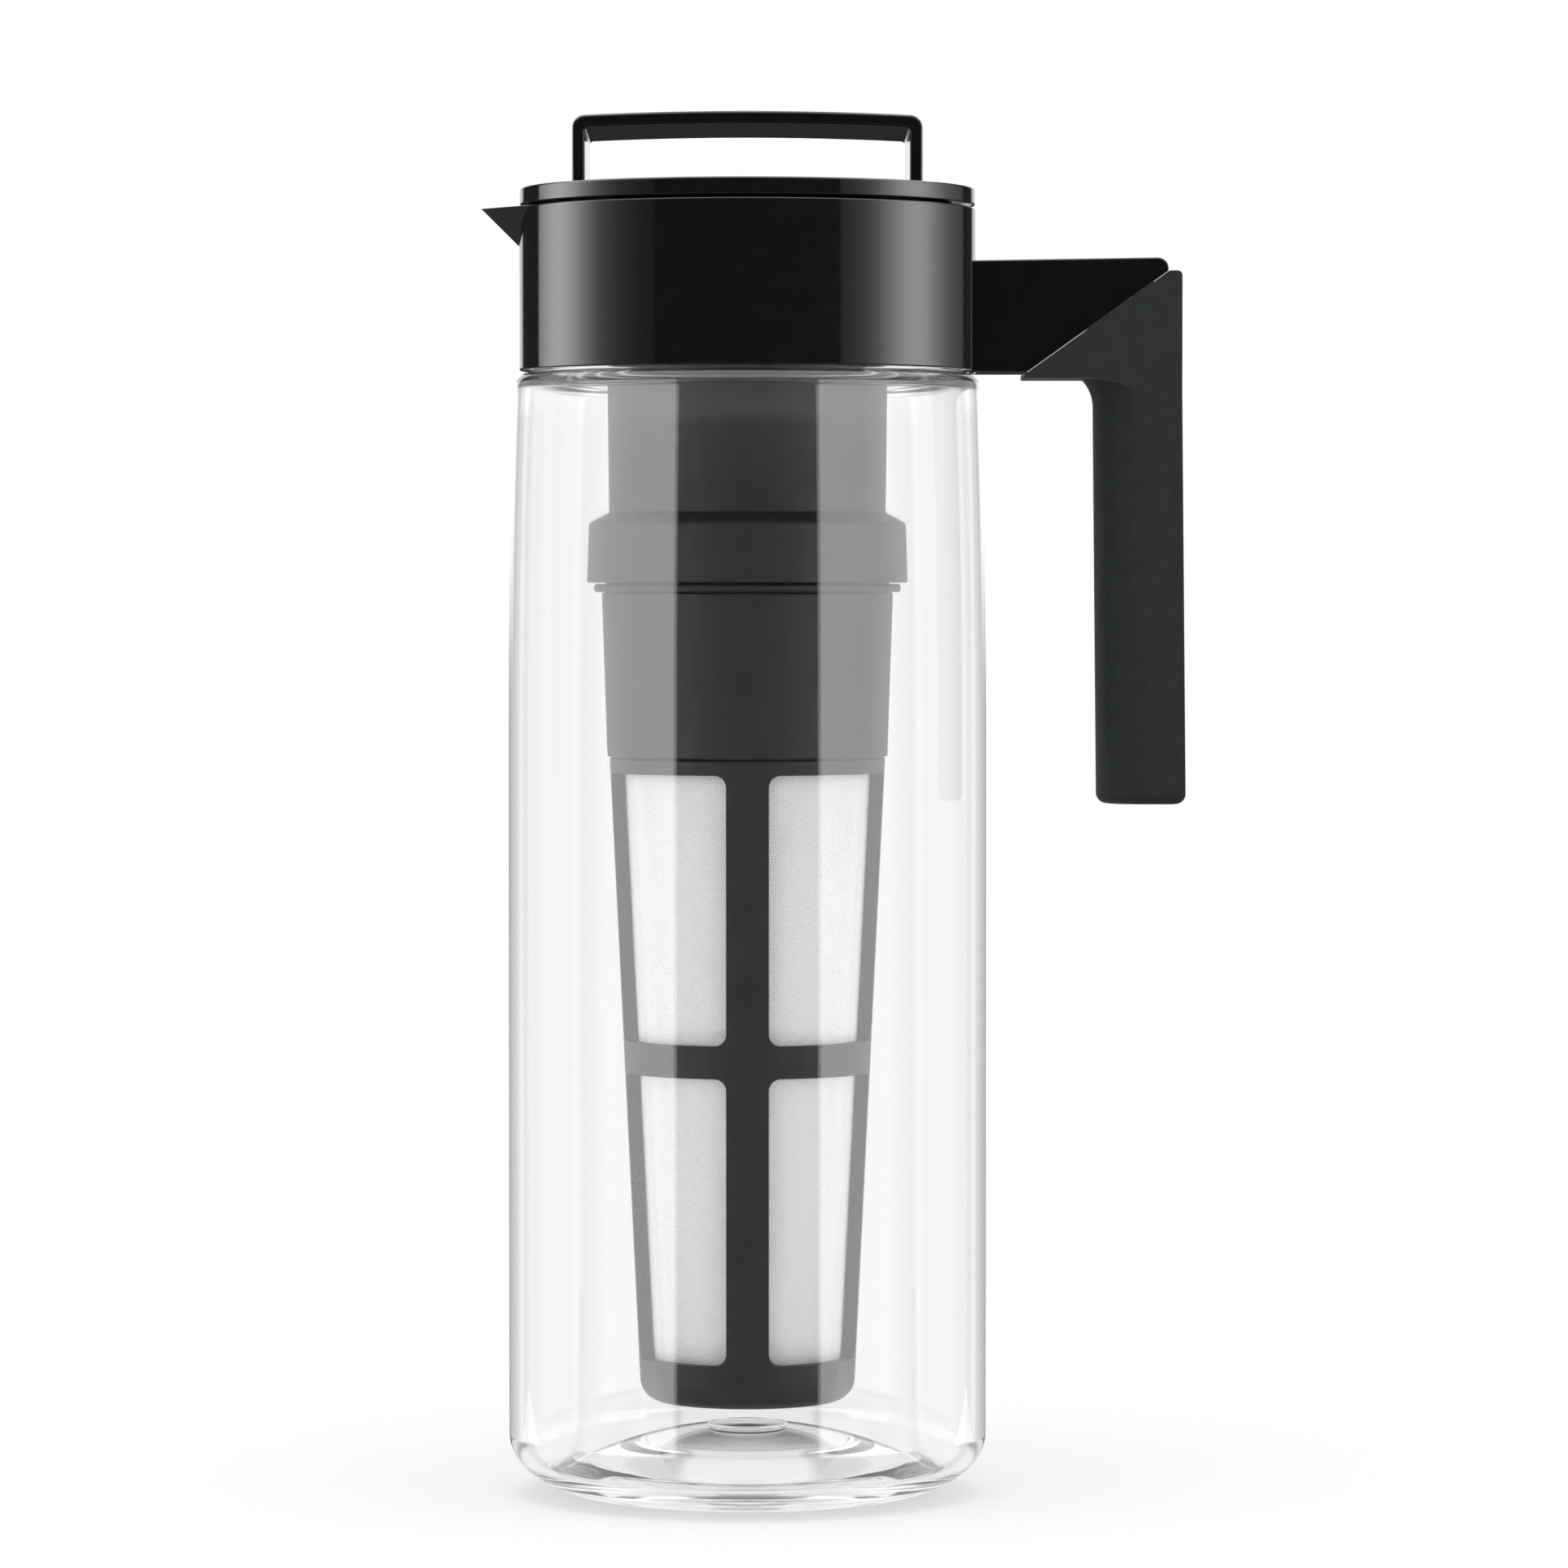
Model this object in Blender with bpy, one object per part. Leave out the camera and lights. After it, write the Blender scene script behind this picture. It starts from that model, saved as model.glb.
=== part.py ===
"""An iced tea pitcher: clear jug, collar with spout and handle, twist lid, and a basket infuser.

Lengths are metres and angles degrees. Every round piece is modelled about the jug's own axis, and the empties
that carry the pieces stand on that axis. +X is the handle side, -X the spout, and the jug stands on Z = 0.
"""

import math

import bmesh
import bpy

# Fits shared by several pieces
CLEARANCE = 0.0003
OVERLAP = 0.0006
SEGMENTS = 40

# Jug
JUG_RADIUS = 0.0520
JUG_WALL = 0.0030
JUG_HEIGHT = 0.2442
FLOOR_THICKNESS = 0.0027
HEEL_ROUND = 0.0200
HEEL_INNER_ROUND = 0.0083
HEEL_RISE = 0.0135
FOOT_WIDTH = 0.0035
FOOT_RISE = 0.0027
KICK_HEIGHT = 0.0101
BUTTON_RADIUS = 0.0088
BUTTON_HEIGHT = 0.0004
TAPER_LENGTH = 0.0900
SHOULDER_TAPER = 0.00155
TAPER_POWER = 2.3
SHOULDER_ROUND = 0.0030
NECK_RADIUS = 0.0462
NECK_WALL = 0.0026
NECK_HEIGHT = 0.0075

# Collar and spout
COLLAR_RADIUS = 0.0496
COLLAR_HEIGHT = 0.0352
COLLAR_GAP = 0.0005
BORE_RADIUS = 0.0446
NECK_GASKET_HEIGHT = 0.0015
LEDGE_RISE = 0.0047
LEDGE_HEIGHT = 0.0030
LEDGE_DEPTH = 0.0030
SPOUT_REACH = 0.0578
SPOUT_HALF_WIDTH = 0.0163
SPOUT_TIP_ROUND = 0.0020
SPOUT_WALL = 0.0022

# Lid
LID_RADIUS = 0.0495
LID_THICKNESS = 0.0037
LID_GAP = 0.0006
PLUG_RADIUS = 0.0412
PLUG_WALL = 0.0025
PLUG_TENON = 0.0010
ROOF_THICKNESS = 0.0022
PLUG_DROP = 0.0277
LUG_COUNT = 3
LUG_ANGLE = 20.0
LUG_SLOT_ANGLE = 26.0
LUG_HEIGHT = 0.0037
PORT_ANGLE = 34.0
PORT_HEIGHT = 0.0080
PORT_TOP_MARGIN = 0.0003
O_RING_HEIGHT = 0.0028
SEAL_GAP = 0.0006
SLEEVE_TOP_GAP = 0.0012

# Lid handle
STRAP_HALF_WIDTH = 0.0375
STRAP_HALF_DEPTH = 0.0250
STRAP_THICKNESS = 0.0027
STRAP_RISE = 0.0154
STRAP_CROWN = 0.0010
STRAP_ROUND = 0.0028
STRAP_TENON = 0.0020

# Handle arm, screws and grip
ARM_INSET = 0.0039
ARM_HEIGHT = 0.0241
ARM_END_RISE = 0.0007
ARM_DROP = 0.0005
ARM_HALF_DEPTH = 0.0107
SEAM_START = 0.0605
SEAM_END_HEIGHT = 0.0219
SCREW_SPREAD = 0.0055
SCREW_LENGTH = 0.0140
SCREW_RADIUS = 0.0014
SCREW_HEAD_RADIUS = 0.0025
SCREW_HEAD_HEIGHT = 0.0017
HANDLE_REACH = 0.0950
GRIP_LENGTH = 0.0923
GRIP_WIDTH = 0.0190
GRIP_HALF_DEPTH = 0.0116
GRIP_SIDE_FLAT = 0.0060
GRIP_LEAN = 0.0009
GRIP_BACK_ROUND = 0.0022
GRIP_END_ROUND = 0.0023
GRIP_THROAT_ROUND = 0.0066
GUSSET_LIP = 0.0013
SPINE_HALF_DEPTH = 0.0050
SPINE_WIDTH = 0.0095
SPINE_SETBACK = 0.0030
SPINE_END_GAP = 0.0140

# Extension tube and bell
TUBE_RADIUS = 0.0304
TUBE_BORE = 0.0283
TUBE_ROOF_GAP = 0.0148
SPIGOT_WALL = 0.0030
SPIGOT_LENGTH = 0.0268
TUBE_LUG_ANGLE = 9.0
TUBE_LUG_HEIGHT = 0.0032
TUBE_LUG_REACH = 0.0018
TUBE_LUG_DEPTH = 0.0077
TUBE_TURN = 35.0
BELL_RADIUS = 0.0349
BELL_SHOULDER_RADIUS = 0.0345
BELL_WALL = 0.0023
BELL_SKIRT = 0.0129
BELL_SHOULDER_HEIGHT = 0.0023
BELL_NECK = 0.0104

# Infuser basket
BUTTON_CLEARANCE = 0.00493
FRAME_HEIGHT = 0.1402
FRAME_TOP_RADIUS = 0.0300
FRAME_FOOT_RADIUS = 0.0232
FRAME_WALL = 0.0027
FRAME_FLOOR = 0.0022
CUP_HEIGHT = 0.0096
CUP_ROUND = 0.0050
TOP_BAND = 0.0032
UPPER_WINDOW = 0.0582
MIDDLE_BAND = 0.0070
RIB_COUNT = 4
RIB_WIDTH = 0.0091
WINDOW_ROUND = 0.0025
FRAME_TENON = 0.0076
MESH_THICKNESS = 0.0004
MESH_HEM = 0.0022
RING_HEIGHT = 0.0356
RING_FOOT_RADIUS = 0.0305
RING_TOP_RADIUS = 0.0317
RING_BORE = 0.0292
BEAD_RADIUS = 0.0334
BEAD_HEIGHT = 0.0019
BEAD_SEAT_DEPTH = 0.0008
BASKET_LUG_ANGLE = 12.0
BASKET_LUG_REACH = 0.0013
BASKET_LUG_HEIGHT = 0.0030
BASKET_LUG_RISE = 0.0025
BASKET_TURN = 40.0
SLOT_PLAY_ANGLE = 4.6

# The jug stands off centre, so that spout and handle reach equally far from the origin
AXIS_X = (SPOUT_REACH - HANDLE_REACH) / 2

# The arm stops short of the grip's back, which wraps over its end
ARM_END = HANDLE_REACH - ARM_INSET

# Levels, each worked out from the piece below it
FLOOR_EDGE = JUG_RADIUS - JUG_WALL - HEEL_INNER_ROUND
FLOOR_LEVEL = FOOT_RISE + FLOOR_THICKNESS
BUTTON_FOOT = FLOOR_LEVEL + KICK_HEIGHT * (1 - (BUTTON_RADIUS / FLOOR_EDGE) ** 2)
BUTTON_TOP = BUTTON_FOOT + BUTTON_HEIGHT
NECK_TOP = JUG_HEIGHT + NECK_HEIGHT
COLLAR_BOTTOM = JUG_HEIGHT + COLLAR_GAP
COLLAR_TOP = COLLAR_BOTTOM + COLLAR_HEIGHT
SOCKET_TOP = NECK_TOP + NECK_GASKET_HEIGHT + 2 * CLEARANCE
LEDGE_BOTTOM = SOCKET_TOP + LEDGE_RISE
LEDGE_TOP = LEDGE_BOTTOM + LEDGE_HEIGHT
LID_BOTTOM = COLLAR_TOP + LID_GAP
LID_TOP = LID_BOTTOM + LID_THICKNESS
ROOF_TOP = LID_BOTTOM - CLEARANCE
ROOF_BOTTOM = ROOF_TOP - ROOF_THICKNESS
PLUG_BOTTOM = COLLAR_TOP - PLUG_DROP
PORT_TOP = ROOF_BOTTOM - PORT_TOP_MARGIN
SLEEVE_TOP = COLLAR_TOP - SLEEVE_TOP_GAP
SLEEVE_BOTTOM = LEDGE_TOP + CLEARANCE + O_RING_HEIGHT + SEAL_GAP
TUBE_TOP = ROOF_BOTTOM - TUBE_ROOF_GAP
TUBE_LUG_BOTTOM = TUBE_TOP - TUBE_LUG_DEPTH
CUP_BOTTOM = BUTTON_TOP + BUTTON_CLEARANCE
FRAME_TOP = CUP_BOTTOM + FRAME_HEIGHT
RING_BOTTOM = FRAME_TOP + CLEARANCE
RING_TOP = RING_BOTTOM + RING_HEIGHT
BELL_BOTTOM = RING_TOP + BEAD_HEIGHT + CLEARANCE
BELL_SHOULDER = BELL_BOTTOM + BELL_SKIRT
BELL_TOP = BELL_SHOULDER + BELL_SHOULDER_HEIGHT
BELL_ROOF = BELL_BOTTOM + BELL_NECK + CLEARANCE
ARM_BOTTOM = COLLAR_BOTTOM - ARM_DROP
GRIP_TOP = ARM_BOTTOM - GUSSET_LIP
GRIP_BOTTOM = GRIP_TOP - GRIP_LENGTH
SCREW_LEVEL = (COLLAR_BOTTOM + SOCKET_TOP) / 2


def clear_scene():
    for old in list(bpy.data.objects):
        bpy.data.objects.remove(old, do_unlink=True)


# Finishes


def finish(name, colour, roughness, metallic=0.0, transmission=0.0, alpha=1.0):
    material = bpy.data.materials.new(name)
    material.use_nodes = True
    shader = material.node_tree.nodes["Principled BSDF"]
    shader.inputs["Base Color"].default_value = (*colour, 1.0)
    shader.inputs["Roughness"].default_value = roughness
    shader.inputs["Metallic"].default_value = metallic
    shader.inputs["Transmission Weight"].default_value = transmission
    shader.inputs["Alpha"].default_value = alpha
    return material


# Solid makers


def place(name, bm, material, parent):
    """A closed, outward facing object from a bmesh, carried by an empty on the jug's axis."""
    bmesh.ops.recalc_face_normals(bm, faces=bm.faces)
    mesh = bpy.data.meshes.new(name)
    bm.to_mesh(mesh)
    bm.free()
    mesh.shade_smooth()
    mesh.set_sharp_from_angle(angle=math.radians(30))
    if material:
        mesh.materials.append(material)
    piece = bpy.data.objects.new(name, mesh)
    bpy.context.collection.objects.link(piece)
    piece.parent = parent
    return piece


def arc(centre, radius, start, end, steps):
    """Points of a circular arc as (across, up), angles from +across towards +up."""
    angles = [math.radians(start + (end - start) * i / steps) for i in range(steps + 1)]
    return [(centre[0] + radius * math.cos(a), centre[1] + radius * math.sin(a)) for a in angles]


def chain(bm, points, closed):
    verts = [bm.verts.new(point) for point in points]
    edges = [bm.edges.new(pair) for pair in zip(verts, verts[1:])]
    if closed:
        edges.append(bm.edges.new((verts[-1], verts[0])))
    return verts + edges


def turned(name, profile, material, parent):
    """A (radius, height) profile spun about the axis. One that starts and ends on the axis stays open there."""
    bm = bmesh.new()
    on_axis = profile[0][0] == 0 and profile[-1][0] == 0
    geometry = chain(bm, [(r, 0, z) for r, z in profile], not on_axis)
    bmesh.ops.spin(
        bm, geom=geometry, cent=(0, 0, 0), axis=(0, 0, 1), angle=math.tau, steps=SEGMENTS, use_merge=True
    )
    bmesh.ops.remove_doubles(bm, verts=bm.verts, dist=1e-6)
    return place(name, bm, material, parent)


def sector(name, profile, middle, width, material=None, parent=None):
    """A closed (radius, height) profile spun through part of a turn, with its two ends filled."""
    bm = bmesh.new()
    start = math.radians(middle - width / 2)
    points = [(r * math.cos(start), r * math.sin(start), z) for r, z in profile]
    steps = max(1, round(width * SEGMENTS / 360))
    bmesh.ops.spin(
        bm,
        geom=chain(bm, points, True),
        cent=(0, 0, 0),
        axis=(0, 0, 1),
        angle=math.radians(width),
        steps=steps,
    )
    bmesh.ops.holes_fill(bm, edges=bm.edges, sides=0)
    return place(name, bm, material, parent)


def block(inner, outer, bottom, top):
    """The profile of a plain ring or sector."""
    return [(inner, bottom), (outer, bottom), (outer, top), (inner, top)]


def rounded_block(inner, outer, bottom, top):
    """The profile of a ring seal, its corners cut back to a third of its smaller side."""
    cut_back = min(outer - inner, top - bottom) / 3
    return [
        (inner, bottom + cut_back),
        (inner + cut_back, bottom),
        (outer - cut_back, bottom),
        (outer, bottom + cut_back),
        (outer, top - cut_back),
        (outer - cut_back, top),
        (inner + cut_back, top),
        (inner, top - cut_back),
    ]


def extruded(name, outline, half_depth, material, parent):
    """An (across, up) outline pulled out to both sides of the plane through the spout and handle."""
    bm = bmesh.new()
    face = bm.faces.new([bm.verts.new((x, -half_depth, z)) for x, z in outline])
    pulled = bmesh.ops.extrude_face_region(bm, geom=[face])["geom"]
    moved = [item for item in pulled if isinstance(item, bmesh.types.BMVert)]
    bmesh.ops.translate(bm, verts=moved, vec=(0, 2 * half_depth, 0))
    return place(name, bm, material, parent)


def lofted(name, sections, material, parent):
    """Closed sections with equal numbers of points, joined in turn and closed at both ends."""
    bm = bmesh.new()
    loops = [[bm.verts.new(point) for point in section] for section in sections]
    for low, high in zip(loops, loops[1:]):
        for i in range(len(low)):
            bm.faces.new((low[i - 1], low[i], high[i], high[i - 1]))
    bm.faces.new(loops[0])
    bm.faces.new(loops[-1])
    return place(name, bm, material, parent)


def combine(piece, tool, operation):
    """A Boolean with a helper object, which moves with the piece and isn't part of the model."""
    modifier = piece.modifiers.new(tool.name, "BOOLEAN")
    modifier.operation = operation
    modifier.solver = "EXACT"
    modifier.object = tool
    tool.hide_render = True
    tool.display_type = "WIRE"
    tool.parent = piece.parent


def cut(piece, tool):
    combine(piece, tool, "DIFFERENCE")


def join(piece, tool):
    combine(piece, tool, "UNION")


# Jug


def jug_radius(height):
    """The jug is straight up to where its taper starts, then draws in ever faster to the shoulder."""
    rise = max(0.0, height - (JUG_HEIGHT - TAPER_LENGTH))
    return JUG_RADIUS - SHOULDER_TAPER * (rise / TAPER_LENGTH) ** TAPER_POWER


def taper_heights(steps=5):
    start = JUG_HEIGHT - TAPER_LENGTH
    end = JUG_HEIGHT - SHOULDER_ROUND
    return [start + (end - start) * i / steps for i in range(steps + 1)]


def floor_curve(outer, inner, drop, steps=7):
    """The floor's dome, which rises from the heel to the button, between two radii and lowered by a drop."""
    radii = [outer + (inner - outer) * i / steps for i in range(steps + 1)]
    return [(r, FLOOR_LEVEL + KICK_HEIGHT * (1 - (r / FLOOR_EDGE) ** 2) - drop) for r in radii]


def heel_curve(wall, floor, across, steps):
    """A quarter of an oval from the floor out to the side, set in by a wall and a floor."""
    turns = [math.radians(90 * i / steps) for i in range(steps + 1)]
    start = JUG_RADIUS - wall - across
    up = HEEL_RISE - floor
    return [(start + across * math.sin(a), HEEL_RISE - up * math.cos(a)) for a in turns]


def make_jug_body(material, parent):
    foot_outer = JUG_RADIUS - HEEL_ROUND
    foot_inner = foot_outer - FOOT_WIDTH
    shoulder = jug_radius(JUG_HEIGHT) - SHOULDER_ROUND
    inner_shoulder = JUG_HEIGHT - JUG_WALL
    neck_inner = NECK_RADIUS - NECK_WALL
    outside = [
        (0, BUTTON_TOP - FLOOR_THICKNESS),
        (BUTTON_RADIUS, BUTTON_TOP - FLOOR_THICKNESS),
        *floor_curve(BUTTON_RADIUS, foot_inner, FLOOR_THICKNESS),
        (foot_inner, 0),
        *heel_curve(0.0, 0.0, HEEL_ROUND, 6),
        *[(jug_radius(z), z) for z in taper_heights()[:-1]],
        *arc((shoulder, JUG_HEIGHT - SHOULDER_ROUND), SHOULDER_ROUND, 0, 90, 4),
        (NECK_RADIUS, JUG_HEIGHT),
        (NECK_RADIUS, NECK_TOP),
    ]
    inside = [
        (neck_inner, NECK_TOP),
        (neck_inner, inner_shoulder),
        *[(jug_radius(z) - JUG_WALL, z - JUG_WALL) for z in reversed(taper_heights())],
        *reversed(heel_curve(JUG_WALL, FLOOR_LEVEL, HEEL_INNER_ROUND, 5)),
        *floor_curve(FLOOR_EDGE, BUTTON_RADIUS, 0.0)[1:],
        (BUTTON_RADIUS, BUTTON_TOP),
        (0, BUTTON_TOP),
    ]
    return turned("jug_body", outside + inside, material, parent)


def make_neck_gasket(material, parent):
    bottom = NECK_TOP + CLEARANCE
    inner = NECK_RADIUS - NECK_WALL + CLEARANCE
    profile = rounded_block(inner, NECK_RADIUS, bottom, bottom + NECK_GASKET_HEIGHT)
    return turned("neck_gasket", profile, material, parent)


# Collar and spout


def beak(name, back, tip_inset, top):
    """The V of the spout: a straight keel falls at 45 degrees from the tip, and both sides fall to that keel."""
    tip = SPOUT_REACH - tip_inset
    spread = SPOUT_HALF_WIDTH / (SPOUT_REACH - math.sqrt(COLLAR_RADIUS**2 - SPOUT_HALF_WIDTH**2))
    half_width = spread * (tip - back)
    keel = COLLAR_TOP - (tip - back)
    nose = arc((SPOUT_TIP_ROUND - tip, 0), SPOUT_TIP_ROUND, 125, 235, 4)
    bm = bmesh.new()
    for x, y in nose:
        bm.verts.new((x, y, COLLAR_TOP))
        bm.verts.new((x, y, top))
    for side in (-half_width, half_width):
        bm.verts.new((-back, side, COLLAR_TOP))
        bm.verts.new((-back, side, top))
    bm.verts.new((-back, 0, keel))
    bmesh.ops.convex_hull(bm, input=bm.verts)
    return place(name, bm, None, None)


def make_collar(material, parent):
    ledge_inner = BORE_RADIUS - LEDGE_DEPTH
    socket = NECK_RADIUS + CLEARANCE
    profile = [
        (socket, COLLAR_BOTTOM),
        (COLLAR_RADIUS, COLLAR_BOTTOM),
        (COLLAR_RADIUS, COLLAR_TOP),
        (BORE_RADIUS, COLLAR_TOP),
        (BORE_RADIUS, SOCKET_TOP),
        (socket, SOCKET_TOP),
    ]
    collar = turned("collar", profile, material, parent)
    spout_back = COLLAR_RADIUS - (COLLAR_RADIUS - BORE_RADIUS) / 2
    join(collar, beak("spout_outside", spout_back, 0.0, COLLAR_TOP - CLEARANCE / 10))
    channel_inset = SPOUT_WALL * math.sqrt(2)
    cut(collar, beak("spout_channel", BORE_RADIUS - OVERLAP, channel_inset, COLLAR_TOP + OVERLAP))
    ledge = block(ledge_inner, BORE_RADIUS + OVERLAP, LEDGE_BOTTOM, LEDGE_TOP)
    pitch = 360 / LUG_COUNT
    for i in range(LUG_COUNT):
        join(collar, sector(f"lid_ledge_{i}", ledge, pitch * (i + 0.5), pitch - LUG_SLOT_ANGLE))
    for side in (-1, 1):
        cut(collar, screw_shape(f"collar_hole_{side}", side, CLEARANCE, OVERLAP))
    return collar


# Handle


def screw_shape(name, side, grow, lead=0.0, material=None, parent=None):
    """A countersunk screw along +X through the collar's wall, or with grow and lead the hole for it."""
    head = NECK_RADIUS + 2 * CLEARANCE
    cone = head + SCREW_HEAD_HEIGHT
    profile = [
        (0, head - lead),
        (SCREW_HEAD_RADIUS + grow, head - lead),
        (SCREW_HEAD_RADIUS + grow, head),
        (SCREW_RADIUS + grow, cone),
        (SCREW_RADIUS + grow, head + SCREW_LENGTH + grow),
        (0, head + SCREW_LENGTH + grow),
    ]
    if not lead:
        del profile[1]
    bm = bmesh.new()
    chain_points = [(x, side * SCREW_SPREAD + r, SCREW_LEVEL) for r, x in profile]
    bmesh.ops.spin(
        bm,
        geom=chain(bm, chain_points, False),
        cent=(0, side * SCREW_SPREAD, SCREW_LEVEL),
        axis=(1, 0, 0),
        angle=math.tau,
        steps=16,
        use_merge=True,
    )
    bmesh.ops.remove_doubles(bm, verts=bm.verts, dist=1e-6)
    return place(name, bm, material, parent)


def seam_height(across):
    """The slanting seam between arm and grip, as a height over the arm's foot."""
    slope = SEAM_END_HEIGHT / (ARM_END - SEAM_START)
    return ARM_BOTTOM + slope * (across - SEAM_START)


def grip_lean(height):
    return GRIP_LEAN * (GRIP_TOP - height) / GRIP_LENGTH


def grip_back(height):
    return HANDLE_REACH - GRIP_LEAN + grip_lean(height)


def spine_outline(grow):
    """The spine starts inside the arm, crosses the seam and runs down the middle of the grip."""
    back = ARM_END - SPINE_SETBACK
    front = back - SPINE_WIDTH
    foot = GRIP_BOTTOM + SPINE_END_GAP - grow
    lean = grip_lean(foot)
    root = front - SPINE_WIDTH / 2
    rise = SPINE_WIDTH / 4
    return [
        (root - grow, seam_height(root) + rise),
        (root - grow, seam_height(root) - grow),
        (front - grow, GRIP_TOP - grow),
        (front + lean - grow, foot),
        (back + lean + grow, foot),
        (back + grow, seam_height(back) + rise),
    ]


def make_handle_arm(material, parent):
    start = NECK_RADIUS
    top = ARM_BOTTOM + ARM_HEIGHT
    outline = [
        (start, ARM_BOTTOM),
        (SEAM_START, ARM_BOTTOM),
        (ARM_END, seam_height(ARM_END)),
        *arc((ARM_END - STRAP_ROUND, top + ARM_END_RISE - STRAP_ROUND), STRAP_ROUND, 0, 90, 3),
        (start, top),
    ]
    arm = extruded("handle_arm", outline, ARM_HALF_DEPTH, material, parent)
    join(arm, extruded("arm_spine", spine_outline(0.0), SPINE_HALF_DEPTH, None, None))
    saddle = block(
        start - ARM_HEIGHT, COLLAR_RADIUS + CLEARANCE, ARM_BOTTOM - ARM_HEIGHT, top + ARM_HEIGHT
    )
    cut(arm, turned("arm_saddle", saddle, None, None))
    for side in (-1, 1):
        cut(arm, screw_shape(f"arm_hole_{side}", side, CLEARANCE, OVERLAP))
    return arm


def grip_section(height, nose_shift, inset):
    """The grip is flat at the back with small corners, and a half ellipse towards the fingers."""
    lean = grip_lean(height)
    back = grip_back(height) - inset
    nose = HANDLE_REACH - GRIP_LEAN - GRIP_WIDTH + lean - nose_shift + inset
    half = GRIP_HALF_DEPTH - inset
    flat = grip_back(height) - GRIP_BACK_ROUND - GRIP_SIDE_FLAT
    corner = GRIP_BACK_ROUND
    points = arc((back - corner, half - corner), corner, 0, 90, 3)
    for i in range(13):
        turn = math.radians(90 + 15 * i)
        points.append((flat + (flat - nose) * math.cos(turn), half * math.sin(turn)))
    points += arc((back - corner, corner - half), corner, 270, 360, 3)
    return [(x, y, height) for x, y in points]


def make_grip_column():
    """Rounded at its foot, and flared at its throat to meet the underside of the gusset."""
    sections = []
    for turn in (0, 45, 90):
        angle = math.radians(turn)
        inset = GRIP_END_ROUND * (1 - math.sin(angle))
        height = GRIP_BOTTOM + GRIP_END_ROUND * (1 - math.cos(angle))
        sections.append(grip_section(height, 0.0, inset))
    for turn in (0, 20, 40, 60):
        angle = math.radians(turn)
        shift = GRIP_THROAT_ROUND * (1 - math.cos(angle))
        height = GRIP_TOP + OVERLAP - GRIP_THROAT_ROUND * (1 - math.sin(angle) / math.sin(math.radians(60)))
        sections.append(grip_section(height, shift, 0.0))
    return lofted("grip_column", sections, None, None)


def gusset_outline():
    """The flat block under the seam, rounded at its top corner, its lower edge swept round into the column."""
    lift = CLEARANCE * math.hypot(1, SEAM_END_HEIGHT / (ARM_END - SEAM_START))
    back = grip_back(GRIP_TOP)
    top = seam_height(ARM_END)
    sweep = back - GRIP_BACK_ROUND - GRIP_SIDE_FLAT
    start = sweep - 2 * GRIP_THROAT_ROUND
    under = ARM_BOTTOM - CLEARANCE
    under_end = SEAM_START + (under + lift - ARM_BOTTOM) / (SEAM_END_HEIGHT / (ARM_END - SEAM_START))
    return [
        (SEAM_START - OVERLAP, GRIP_TOP),
        (start, GRIP_TOP),
        *[
            (start + 2 * GRIP_THROAT_ROUND * math.sin(a), GRIP_TOP - GRIP_THROAT_ROUND * (1 - math.cos(a)))
            for a in (math.radians(15 * i) for i in range(1, 7))
        ],
        (back - CLEARANCE, GRIP_TOP - GRIP_THROAT_ROUND),
        (back - CLEARANCE, top - GRIP_BACK_ROUND),
        *arc((back - CLEARANCE - GRIP_BACK_ROUND / 2, top - GRIP_BACK_ROUND / 2), GRIP_BACK_ROUND / 2, 0, 90, 3),
        (ARM_END + CLEARANCE, top),
        (ARM_END + CLEARANCE, seam_height(ARM_END + CLEARANCE) - lift),
        (under_end, under),
        (SEAM_START - OVERLAP, under),
    ]


def make_handle_grip(material, parent):
    grip = extruded("handle_grip", gusset_outline(), GRIP_HALF_DEPTH - CLEARANCE, material, parent)
    join(grip, make_grip_column())
    cavity_half = SPINE_HALF_DEPTH + CLEARANCE
    cut(grip, extruded("spine_cavity", spine_outline(CLEARANCE), cavity_half, None, None))
    return grip


# Lid


def lug_profile(inner, reach, bottom, height):
    return block(inner - OVERLAP, inner + reach, bottom, bottom + height)


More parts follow.
